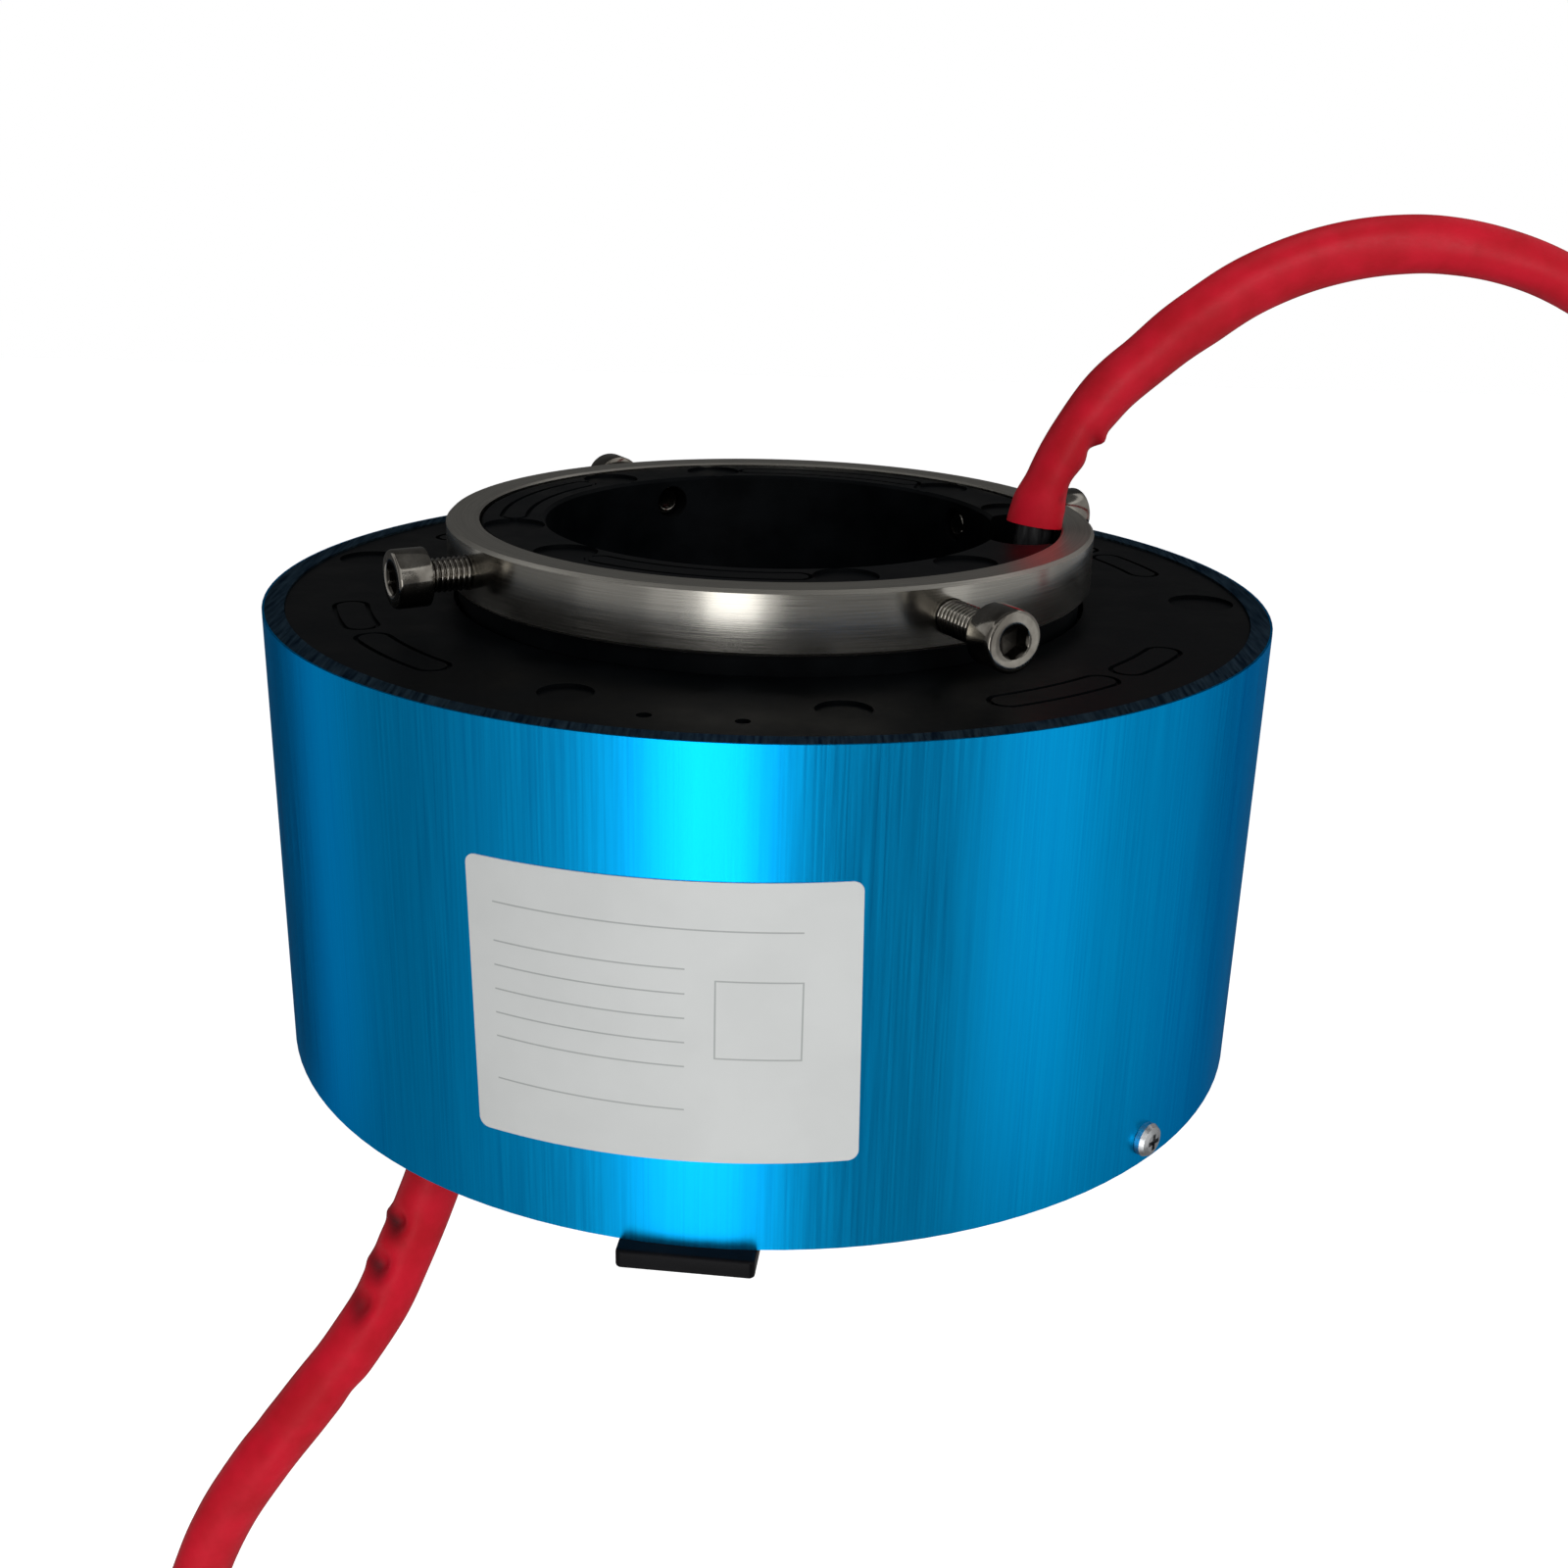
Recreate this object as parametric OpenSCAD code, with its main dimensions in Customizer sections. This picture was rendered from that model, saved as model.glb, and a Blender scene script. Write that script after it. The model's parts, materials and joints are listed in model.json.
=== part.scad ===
// Through-bore slip ring with six power circuits.
// The rotor clamps on a shaft; the housing stays still and is carried by two thin ball bearings.
// Origin: on the bore axis, at the bottom face of the housing. +Z runs towards the clamp collar.

/* [Bore and rotor] */
// Diameter of the shaft bore
bore_d = 70; // [50:1:90]
// Wall of the thin tube that carries the collector rings
tube_wall = 3.5; // [3:0.1:4.5]
// Radial depth of the rotor's thick head, from the bore to the bearing seat
rotor_wall = 10; // [9.5:0.1:12]
// Height of the rotor's face above the housing's rim
face_rise = 11.2; // [10:0.1:14]
// How far the shoulder stands out beyond the bearing seat
shoulder_out = 3.5; // [3:0.1:4]
// How far the rotor's tube stands out below the housing
tube_drop = 1.2; // [1:0.1:2.5]
// Edge break at both ends of the bore
bore_break = 0.5; // [0.2:0.1:0.8]

/* [Collector rings] */
// Height of one collector ring
ring_h = 3.2; // [3:0.1:4.5]
// Radial depth of a collector ring
ring_depth = 7; // [5:0.1:7.5]
// Thickness of the insulating flange between two rings
flange_h = 2.4; // [2:0.1:3.5]
// How far a flange stands out beyond its ring
flange_out = 3; // [2:0.1:3.2]
// Thickness of the barrier above the last ring
barrier_h = 1.4; // [1:0.1:4]
// Clear height between the ring stack and each bearing
stack_gap = 1; // [0.8:0.1:3]

/* [Bearings] */
// Height of a bearing
bearing_h = 13; // [12:0.5:16]
// Radial section of a bearing, from its bore to its outside
bearing_section = 12.5; // [12:0.1:13]
// Ball diameter
ball_d = 7.14; // [6.5:0.01:7.5]
// Balls in one bearing
ball_count = 20; // [14:1:24]

/* [Housing] */
// Radial room for the brush gear, from the bearings to the shell
brush_space = 16.8; // [16:0.1:22]
// Wall of the housing shell
shell_wall = 3.2; // [2.5:0.1:5]
// Thickness of the bottom cover's plate
bottom_cover_h = 3.5; // [3:0.1:5]
// Thickness of the top cover's plate
top_cover_h = 3.2; // [3:0.1:5]
// How far the shell's rim stands above the top cover
rim_lip = 0.3; // [0.2:0.1:1]
// Wall of the boss round each bearing
boss_wall = 3.4; // [3:0.1:3.8]
// Gap between the rotor's shoulder and each cover
cover_gap = 0.8; // [0.5:0.1:1]

/* [Clamp collar] */
// Wall of the steel collar
collar_wall = 5; // [4:0.1:7]
// Height of the collar
collar_h = 9; // [8:0.1:12]
// Height of the collar's lower face above the rim
collar_rise = 2.7; // [2:0.1:4]
// Chamfer on the collar's outer edges
collar_chamfer = 0.5; // [0.2:0.1:1]

/* [Clamp screws] */
// Thread diameter
clamp_d = 5; // [4:0.5:5]
// Length under the head
clamp_len = 20; // [19:1:25]
// Head diameter
clamp_head_d = 8.5; // [8:0.1:9]
// Head height
clamp_head_h = 5; // [4:0.1:6]
// Width across the flats of the hexagon socket
clamp_socket = 4; // [3:0.1:4]
// Azimuth of the first screw; the others follow every 90 degrees
clamp_az = -60; // [-70:1:-50]

/* [Housing screws] */
// Diameter of the small radial screws in the shell
shell_screw_d = 2.5; // [2:0.1:3]
// Their height above the bottom face
shell_screw_z = 4; // [3:0.1:5]
// Azimuth of the first of the two
shell_screw_az = -44; // [-60:1:-35]
// Thread diameter of the inner screws
inner_screw_d = 3; // [2.5:0.1:3.2]
// Diameter of the standoffs between the covers
standoff_d = 7; // [6:0.1:8]

/* [Anti-rotation tab] */
// Width of the tab
tab_w = 18.5; // [14:0.5:24]
// Thickness of the tab
tab_h = 2.7; // [2.5:0.1:5]
// How far the tab reaches beyond the shell
tab_reach = 2.3; // [1:0.1:20]
// Azimuth of the tab
tab_az = -96; // [-100:1:-90]

/* [Rating label] */
// Width of the label, straight across
label_w = 50.7; // [30:0.1:60]
// Height of the label
label_h = 39.1; // [20:0.1:45]
// Thickness of the label
label_t = 0.2; // [0.1:0.05:0.4]
// Distance from the label's top edge to the shell's rim
label_top = 17.9; // [10:0.1:19]
// Azimuth of the label's centre
label_az = -99; // [-110:1:-90]

/* [Leads] */
// Diameter of the sleeved cables
cable_d = 8; // [7:0.1:8.4]
// Diameter of one insulated wire
wire_d = 1.6; // [1.4:0.1:1.8]
// Radius from the axis at which the stator cable leaves
stator_exit_r = 67.2; // [66.5:0.1:68]

/* [Hidden] */
$fn = 96;
SIDES = ["left", "right"];
RINGS = [1, 2, 3, 4, 5, 6];

// Clearances
fit = 0.03;        // seats that are pressed or bonded
slide = 0.2;       // pieces that slide over each other in assembly
thread_gap = 0.05; // a screw in its thread
eps = 0.01;        // how far a cut runs past a face

// Radii, from the bore outwards
bore_r = bore_d / 2;
tube_r = bore_r + tube_wall;
seat_r = bore_r + rotor_wall;
shoulder_r = seat_r + shoulder_out;
collar_ir = seat_r;
collar_or = collar_ir + collar_wall;
head_r = collar_ir - 0.3;
hub_ir = tube_r + slide;
ring_ir = seat_r + 1;
ring_or = ring_ir + ring_depth;
hub_or = ring_ir - slide;
flange_or = ring_or + flange_out;
wire_r = (hub_ir + hub_or) / 2;
bearing_or = seat_r + bearing_section;
pitch_r = (seat_r + bearing_or) / 2;
race_gap = 2.9;    // radial gap between the races, where the cage runs
race_in_or = pitch_r - race_gap / 2;
race_out_ir = pitch_r + race_gap / 2;
groove_r = ball_d / 2 + 0.08;
boss_or = bearing_or + boss_wall;
shell_ir = bearing_or + brush_space;
shell_or = shell_ir + shell_wall;
cover_or = shell_ir - 0.1;
cover_ir = shoulder_r + cover_gap;
relief_r = race_out_ir - 0.2;

// Heights, from the bottom face upwards
pitch = flange_h + ring_h;
z_lower = bottom_cover_h;
z_stack = z_lower + bearing_h + stack_gap;
z_barrier = z_stack + len(RINGS) * pitch;
z_head = z_barrier + barrier_h;
z_upper = z_head + stack_gap;
z_cover = z_upper + bearing_h;
z_cover_top = z_cover + top_cover_h;
rim_z = z_cover_top + rim_lip;
z_collar = rim_z + collar_rise;
z_collar_top = z_collar + collar_h;
z_face = rim_z + face_rise;
z_clamp = z_collar + collar_h / 2 - 0.1;
z_tube_end = -tube_drop;

// Rotor details
base_drop = 0.8;        // how far the base flange stands below the housing
tie_az = [70, 190, 310];
tie_r = wire_r;
tie_reach = 9;          // thread of the tie screws in the rotor's head
tie_head_d = 5.5;
tie_head_h = 3;
exit_az = -7;           // where the rotor cable leaves
exit_half = 8.5;        // half the angle between the round ends of its slot
exit_depth = 9.2;       // depth of the slot, which is open to the bore and to the collar
exit_room = 0.1;        // between the cable and the collar's seat
rotor_exit_r = head_r - cable_d / 2 - exit_room; // the cable stands just inside the head's face
fan_half = 24;          // half the angle of the chamber in which the wires gather
wire_room = 0.6;        // between those wires and its outer wall
knock_d = 9.2;          // round moulded knock-outs
knock_r = 40;
knock_half = 14.3;      // their angle from a clamp screw
window_half = 21;       // half the angle of a long knock-out
window_in = 2.4;        // its inner line, from the bore
window_out = 7;         // its outer line, from the bore
mark_w = 0.7;           // width of a moulded line
mark_h = 0.5;           // its depth

// Bearing cage
cage_wall = race_gap - 0.7;
cage_h = 9;
pocket_r = ball_d / 2 + 0.05;

// Clamp screws: how far each tip stands back from the bore
tip_back = [4.3, 0.6, 2, 1.2];
clamp_hole_r = 2.75;    // clearance holes in the rotor's head
socket_depth = 2.5;
clamp_point = 0.8;      // chamfer on the tip
head_break = 0.4;       // chamfer on the head

// Housing details
mirror_az = -97;        // the covers' mould marks are mirrored about this azimuth
marks_in = 12;          // from the cover's edge to its mould marks
cover_slot_r = cover_or - marks_in;
mark_band = 5.5;        // radial width of an outline
mark_step = 0.3;        // how far the shorter outlines stand inwards
mid_mark_in = 0.8;      // the round marks' centres, from the outlines' inner line
outer_mark_in = 5.8;
mid_mark_d = 7.5;       // round marks beside the mirror line
side_mark_d = 10;       // and at right angles to it
dot_d = 2;
cover_lip = 2.5;        // the top cover's rim that centres it in the shell
cover_lip_h = 4;
standoff_az = [-110, -20, 70, 160];
post_r = (boss_or + shell_ir) / 2;
stud_h = 2.2;
inner_screw_len = 12;
inner_head_d = 5.6;
inner_head_h = 1.8;
shell_screw_len = 6;
shell_head_d = 5;
shell_head_h = 1.7;
lug_w = 10;             // lugs of the bottom cover that take the shell screws
lug_d = 6;
lug_h = 4.5;
tab_in = 2;             // from the cover's hole to the tab's inner end
tab_corner = 0.8;
tab_screw_r = [7, 18];  // from the cover's hole
exit_b_az = -132.6;     // where the stator cable leaves
exit_b_half = 8.5;
exit_b_w = 9;
label_corner = 1.4;
label_tilt = 1;

// Brush gear
holder_x = boss_or + 1.6;
holder_d = 8.4;
holder_w = 16;
holder_head = 0.3;      // gap above the holder
holder_screw_y = 5;
holder_az = [180, 0];
leaf_t = 0.4;
leaf_w = min(2.6, ring_h - 0.4);
leaf_y = 5;             // half the length of a spring's flat root
leaf_root_w = 5.5;      // the wider pad round the terminal screw
leaf_root_h = pitch - 1.2;
brush_az = 17;          // angle from the holder to each brush
brush_w = 4;
brush_run = 0.1;        // running gap at the ring
brush_back = flange_out + 0.5; // from the ring to a brush's back
terminal_d = 2;
terminal_head_d = 3.8;
terminal_head_h = 1.2;
lead_r = shell_ir - 1.4;

// Wires in a cable: two staggered rows of three
bunch_step = wire_d / 2 + 0.35;
bunch_row = wire_d / 2 + 0.3;
bunch_room = bunch_row + wire_d / 2 + slide; // from the bunch's middle to a wall round it
function bunch(k) = [(k - 2.5) * bunch_step, (k % 2 == 0 ? -bunch_row : bunch_row)];
function polar(r, az, z) = [r * cos(az), r * sin(az), z];
function bunch_at(r, az, z, k) =
    polar(r, az, z) + bunch(k)[0] * [-sin(az), cos(az), 0] + bunch(k)[1] * [cos(az), sin(az), 0];
function ring_z(i) = z_stack + (i - 1) * pitch + flange_h + ring_h / 2;
rotor_wire_step = 8;
stator_wire_step = 2.6;
z_fan = z_head + 1.5;          // where the rotor's wires start to gather
z_bunch = z_face - exit_depth; // floor of the cable slot
z_cable_in = z_bunch + 1.5;    // where the rotor cable's sleeve starts
z_fan_b = 16;                  // where the stator's wires start to gather
z_bunch_b = 8;
z_cable_b = 5;                 // where the stator cable's sleeve starts

// Routes of the two cables, from each one's inner end to the sleeve's open end
rotor_bends = [[0, 0, 0], [0, 0, 5.2], [0.9, 0.3, 11.7], [4.2, 1.6, 19.6], [9.3, 3.3, 27.1],
    [15.7, 4.9, 32.9], [23.2, 5.9, 39], [31.7, 6.9, 44.5], [41.7, 7.9, 48.5], [52.7, 8.9, 50.5],
    [64.7, 9.9, 50], [77.7, 10.9, 46.5], [90.7, 11.9, 39.5], [101.7, 12.9, 29.5],
    [110.7, 13.9, 16.5], [117.7, 14.9, 0.5], [121.7, 15.9, -17.5], [123.7, 16.9, -36.5],
    [124.7, 16.9, -55.5], [124.7, 16.9, -64.5]];
stator_bends = [[0, 0, 0], [0, 0, -5], [-1, -0.8, -11], [-3.1, -1.8, -17], [-6.1, -3.5, -24.5],
    [-9.5, -5.7, -32], [-14.1, -8, -39], [-20, -10.5, -46.5], [-26.5, -12.5, -55],
    [-32.5, -14, -64.5], [-37.5, -15.5, -76], [-41.5, -16.5, -89], [-44.5, -17.5, -104],
    [-46.5, -18, -121], [-47.5, -18.5, -140], [-48, -18.5, -160], [-48.5, -18.5, -181],
    [-48.5, -18.5, -202], [-48.5, -18.5, -222]];
rotor_route = [for (p = rotor_bends) polar(rotor_exit_r, exit_az, z_cable_in) + p];
stator_route = [for (p = stator_bends) polar(stator_exit_r, exit_b_az, z_cable_b) + p];
cable_sides = 10;
wire_sides = 8;
wire_bend = 1;
arc_step = 10;
tail_len = [32, 28, 35, 30, 26, 33];

// ---------- shared shapes ----------

// Tube between two radii and two heights
module tube(r_in, r_out, z0, z1) {
    translate([0, 0, z0]) linear_extrude(z1 - z0) difference() {
        circle(r_out);
        circle(r_in);
    }
}

// Round rod from p to q
module rod(p, q, d) {
    v = q - p;
    translate(p)
        rotate([0, acos(v[2] / norm(v)), atan2(v[1], v[0])])
            cylinder(d = d, h = norm(v), $fn = 24);
}

// Places children at radius r and azimuth az
module at(r, az, z = 0) {
    rotate(az) translate([r, 0, z]) children();
}

// Sector of a flat disc, as a cutting or keeping shape
module sector(r, a0, a1) {
    steps = max(2, ceil((a1 - a0) / 30));
    polygon(concat([[0, 0]], [for (k = [0 : steps])
        let (a = a0 + (a1 - a0) * k / steps) 1.3 * r * [cos(a), sin(a)]]));
}

// Flat arc slot with round ends, between two radii
module arc_slot(r_in, r_out, az, half) {
    mid = (r_in + r_out) / 2;
    intersection() {
        difference() {
            circle(r_out);
            circle(r_in);
        }
        sector(r_out, az - half, az + half);
    }
    for (s = [-1, 1]) rotate(az + s * half) translate([mid, 0])
        circle(d = r_out - r_in - 2 * eps, $fn = 48);
}

// Moulded line round an arc slot
module slot_line(r_in, r_out, az, half) {
    difference() {
        arc_slot(r_in, r_out, az, half);
        arc_slot(r_in + mark_w, r_out - mark_w, az, half);
    }
}

// Box between two corners
module block(x, y, z) {
    translate([x[0], y[0], z[0]]) cube([x[1] - x[0], y[1] - y[0], z[1] - z[0]]);
}

// ---------- rotor ----------

module rotor_sleeve() {
    color("#17181b") difference() {
        rotate_extrude() polygon([[bore_r, z_tube_end + bore_break],
            [bore_r + bore_break, z_tube_end], [tube_r, z_tube_end], [tube_r, z_head],
            [seat_r - fit, z_head], [seat_r - fit, z_cover], [shoulder_r, z_cover],
            [shoulder_r, z_collar], [head_r, z_collar], [head_r, z_face - 0.3],
            [head_r - 0.3, z_face], [bore_r + bore_break, z_face], [bore_r, z_face - bore_break]]);
        clamp_screw_holes(clamp_hole_r);
        translate([0, 0, z_bunch]) linear_extrude(exit_depth + 1)
            arc_slot(bore_r - 1, head_r + 0.5, exit_az, exit_half);
        translate([0, 0, z_head - 1]) linear_extrude(z_bunch - z_head + 2)
            arc_slot(min(tube_r, rotor_exit_r - bunch_room), max(wire_r + wire_d / 2,
                rotor_exit_r + bunch_row + wire_d / 2) + wire_room, exit_az, fan_half);
        for (a = tie_az) at(tie_r, a, z_head - 1)
            cylinder(d = inner_screw_d + 2 * thread_gap, h = tie_reach + 2);
        translate([0, 0, z_face - mark_h]) linear_extrude(1) face_marks();
    }
}

// Knock-outs moulded in the rotor's face: a pair beside each clamp screw, a long one between
module face_marks() {
    for (k = [0 : 3]) {
        for (s = [-1, 1]) rotate(clamp_az + 90 * k + s * knock_half)
            translate([knock_r, 0]) circle(d = knock_d, $fn = 48);
        if (k != 0)
            slot_line(bore_r + window_in, bore_r + window_out, clamp_az + 45 + 90 * k, window_half);
    }
}

module clamp_screw_holes(r) {
    for (k = [0 : 3]) rotate(clamp_az + 90 * k) translate([bore_r / 2, 0, z_clamp])
        rotate([0, 90, 0]) cylinder(r = r, h = collar_or, $fn = 48);
}

module rotor_base() {
    color("#1c1d20") difference() {
        union() {
            tube(hub_ir, seat_r - fit, 0, z_stack);
            tube(hub_ir, shoulder_r, -base_drop, z_lower);
        }
        for (a = tie_az) at(tie_r, a, 0) {
            translate([0, 0, -2]) cylinder(d = inner_screw_d + slide, h = z_stack + 4);
            translate([0, 0, -2]) cylinder(d = tie_head_d + slide, h = 2 - base_drop + tie_head_h);
        }
    }
}

module clamp_collar() {
    c = collar_chamfer;
    color("#8d8c88") difference() {
        rotate_extrude() polygon([[collar_ir, z_collar + 0.2], [collar_ir + 0.2, z_collar],
            [collar_or - c, z_collar], [collar_or, z_collar + c], [collar_or, z_collar_top - c],
            [collar_or - c, z_collar_top], [collar_ir + 0.3, z_collar_top],
            [collar_ir, z_collar_top - 0.3]]);
        clamp_screw_holes(clamp_d / 2 + thread_gap);
    }
}

// Flange and hub under one collector ring, with holes for the wires and the tie screws
module insulator(i) {
    z = z_stack + (i - 1) * pitch;
    color("#2b2d31") difference() {
        union() {
            tube(hub_ir, flange_or, z, z + flange_h);
            tube(hub_ir, hub_or, z, z + pitch);
        }
        stack_holes(z - 1, pitch + 2);
        rotate(rotor_wire_az(i)) translate([wire_r, 0, ring_z(i)])
            rotate([0, 90, 0]) cylinder(d = wire_d + slide, h = hub_or - wire_r + 1, $fn = 24);
    }
}

function rotor_wire_az(i) = exit_az + (i - 3.5) * rotor_wire_step;

module stack_holes(z, h) {
    for (a = tie_az) at(tie_r, a, z) cylinder(d = inner_screw_d + slide, h = h);
    for (i = RINGS) at(wire_r, rotor_wire_az(i), z) cylinder(d = wire_d + slide, h = h, $fn = 24);
}

module end_barrier() {
    color("#2b2d31") difference() {
        tube(hub_ir, flange_or, z_barrier, z_head);
        stack_holes(z_barrier - 1, barrier_h + 2);
    }
}

module collector_ring(i) {
    z = z_stack + (i - 1) * pitch + flange_h;
    color("#c9a452") rotate_extrude() polygon([[ring_ir, z], [ring_or - 0.2, z],
        [ring_or, z + 0.2], [ring_or, z + ring_h - 0.2], [ring_or - 0.2, z + ring_h],
        [ring_ir, z + ring_h]]);
}

module tie_screws() {
    color("#8a8c90") for (a = tie_az) at(tie_r, a, -base_drop) difference() {
        union() {
            cylinder(d = tie_head_d, h = tie_head_h);
            cylinder(d = inner_screw_d, h = z_head + base_drop + tie_reach);
        }
        translate([0, 0, -eps]) cylinder(d = 2.8, h = 1.6, $fn = 6);
    }
}

module rotor_leads() {
    color("#a3202c") for (i = RINGS) {
        a = rotor_wire_az(i);
        swept(eased([polar(ring_ir, a, ring_z(i)), polar(wire_r, a, ring_z(i)),
            polar(wire_r, a, z_fan), bunch_at(rotor_exit_r, exit_az, z_bunch - 1, i - 1),
            bunch_at(rotor_exit_r, exit_az, z_cable_in, i - 1)], wire_bend), wire_d, wire_sides);
    }
}

// ---------- bearings ----------

module inner_race(z) {
    color("#b9bcc0") difference() {
        tube(seat_r, race_in_or, z, z + bearing_h);
        groove(z);
    }
}

module outer_race(z) {
    color("#b9bcc0") difference() {
        tube(race_out_ir, bearing_or, z, z + bearing_h);
        groove(z);
    }
}

module groove(z) {
    translate([0, 0, z + bearing_h / 2]) rotate_extrude()
        translate([pitch_r, 0]) circle(r = groove_r, $fn = 48);
}

module ball_cage(z) {
    mid = z + bearing_h / 2;
    color("#b08d57") difference() {
        tube(pitch_r - cage_wall / 2, pitch_r + cage_wall / 2, mid - cage_h / 2, mid + cage_h / 2);
        ball_row(z, pocket_r);
    }
}

module balls(z) {
    color("#d5d8dc") ball_row(z, ball_d / 2);
}

module ball_row(z, r) {
    for (k = [0 : ball_count - 1])
        at(pitch_r, 360 / ball_count * k, z + bearing_h / 2) sphere(r = r, $fn = 32);
}

// ---------- clamp screws ----------

module clamp_screw(k) {
    tip = bore_r + tip_back[k - 1];
    top = clamp_len + clamp_head_h;
    head = clamp_head_d / 2;
    color("#6d6a66") rotate(clamp_az + 90 * (k - 1)) translate([tip, 0, z_clamp])
        rotate([0, 90, 0]) difference() {
            rotate_extrude($fn = 48) polygon([[0, 0], [clamp_d / 2 - clamp_point, 0],
                [clamp_d / 2, clamp_point], [clamp_d / 2, clamp_len], [head, clamp_len],
                [head, top - head_break], [head - head_break, top], [0, top]]);
            translate([0, 0, top - socket_depth])
                cylinder(d = clamp_socket / cos(30), h = clamp_head_h, $fn = 6);
        }
}

// ---------- housing ----------

module housing_shell() {
    color("#0a7ab8") difference() {
        tube(shell_ir, shell_or, 0, rim_z);
        for (s = [0, 180]) rotate(shell_screw_az + s) translate([shell_ir - 2, 0, shell_screw_z])
            rotate([0, 90, 0]) cylinder(d = shell_screw_d + slide, h = shell_wall + 4, $fn = 32);
    }
}

// Two outlines on each side of the mirror line, and the same again behind
module cover_marks() {
    for (m = [0, 1]) rotate(mirror_az) mirror([m, 0, 0]) for (s = [-1, 1]) {
        slot_line(cover_slot_r, cover_slot_r + mark_band, s * 43.5, 7.5);
        slot_line(cover_slot_r - mark_step, cover_slot_r + mark_band - mark_step, s * 62.5, 5.2);
        rotate(s * 16.5) translate([cover_slot_r + mid_mark_in, 0]) circle(d = mid_mark_d, $fn = 48);
        rotate(s * 5.2) translate([cover_slot_r + outer_mark_in, 0]) circle(d = dot_d, $fn = 24);
    }
    for (s = [-1, 1]) rotate(mirror_az + s * 95) translate([cover_slot_r + outer_mark_in, 0])
        circle(d = side_mark_d, $fn = 48);
}

module top_cover() {
    color("#191b1e") difference() {
        union() {
            tube(cover_ir, cover_or, z_cover, z_cover_top);
            tube(bearing_or + fit, boss_or, z_upper, z_cover);
            tube(cover_or - cover_lip, cover_or, z_cover - cover_lip_h, z_cover);
        }
        tube(cover_ir - 1, relief_r, z_cover - 1, z_cover + 0.5);
        for (a = standoff_az) at(post_r, a, z_cover - 1)
            cylinder(d = inner_screw_d + 2 * thread_gap, h = stud_h + 1);
        translate([0, 0, z_cover_top - mark_h]) linear_extrude(1) cover_marks();
    }
}

module bottom_cover() {
    color("#191b1e") difference() {
        union() {
            tube(cover_ir, cover_or, 0, z_lower);
            tube(bearing_or + fit, boss_or, z_lower, z_lower + bearing_h);
            intersection() {
                tube(cover_or - lug_d, cover_or, 0, z_lower + lug_h);
                for (s = [0, 180]) rotate(shell_screw_az + s)
                    block([0, shell_or], [-lug_w / 2, lug_w / 2], [0, z_lower + lug_h]);
            }
        }
        tube(cover_ir - 1, relief_r, z_lower - 0.5, z_lower + 1);
        for (a = standoff_az) at(post_r, a) screw_seat();
        for (s = [0, 1], y = [-1, 1]) rotate(holder_az[s])
            translate([holder_x + holder_d / 2, y * holder_screw_y, 0]) screw_seat();
        for (s = [0, 180]) rotate(shell_screw_az + s) translate([cover_or - lug_d - 1, 0, shell_screw_z])
            rotate([0, 90, 0]) cylinder(d = shell_screw_d + 2 * thread_gap, h = lug_d + 2, $fn = 32);
        for (r = tab_screw_r) at(cover_ir + r, tab_az, -1)
            cylinder(d = inner_screw_d + 2 * thread_gap, h = z_lower + 2);
        translate([0, 0, -1]) linear_extrude(z_lower + 2)
            arc_slot(stator_exit_r - exit_b_w / 2, stator_exit_r + exit_b_w / 2, exit_b_az,
                exit_b_half - 4);
    }
}

// Clearance hole and counterbore for an inner screw, from the bottom face
module screw_seat() {
    translate([0, 0, -1]) cylinder(d = inner_screw_d + slide, h = z_lower + 2);
    translate([0, 0, -1]) cylinder(d = inner_head_d + slide, h = 1 + inner_head_h + slide);
}

// Pan-head screw from the bottom face upwards, with its cross recess
module inner_screw() {
    difference() {
        union() {
            translate([0, 0, slide]) cylinder(d = inner_head_d, h = inner_head_h);
            translate([0, 0, slide]) cylinder(d = inner_screw_d, h = inner_screw_len);
        }
        cross_recess(inner_head_d * 0.5, slide);
    }
}

module cross_recess(w, z) {
    for (a = [0, 90]) rotate(a) translate([-w / 2, -0.35, z - eps]) cube([w, 0.7, 0.9]);
}

module standoffs() {
    color("#b8bbbf") for (a = standoff_az) at(post_r, a) difference() {
        union() {
            translate([0, 0, z_lower]) cylinder(d = standoff_d, h = z_cover - z_lower);
            translate([0, 0, z_cover]) cylinder(d = inner_screw_d, h = stud_h - slide);
        }
        translate([0, 0, z_lower - 1])
            cylinder(d = inner_screw_d + 2 * thread_gap, h = inner_screw_len);
    }
}

module cover_screws() {
    color("#a9abaf") for (a = standoff_az) at(post_r, a) inner_screw();
}

module holder_screws() {
    color("#a9abaf") for (s = [0, 1], y = [-1, 1]) rotate(holder_az[s])
        translate([holder_x + holder_d / 2, y * holder_screw_y, 0]) inner_screw();
}

module shell_screws() {
    color("#c4c6c8") for (s = [0, 180]) rotate(shell_screw_az + s)
        translate([shell_or + shell_head_h, 0, shell_screw_z]) rotate([0, -90, 0]) difference() {
            union() {
                rotate_extrude() polygon([[0, 0], [shell_head_d / 2 - 1, 0],
                    [shell_head_d / 2 - 0.35, 0.3], [shell_head_d / 2, 0.9],
                    [shell_head_d / 2, shell_head_h], [0, shell_head_h]]);
                cylinder(d = shell_screw_d, h = shell_head_h + shell_screw_len, $fn = 32);
            }
            cross_recess(shell_head_d * 0.5, 0);
        }
}

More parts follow.
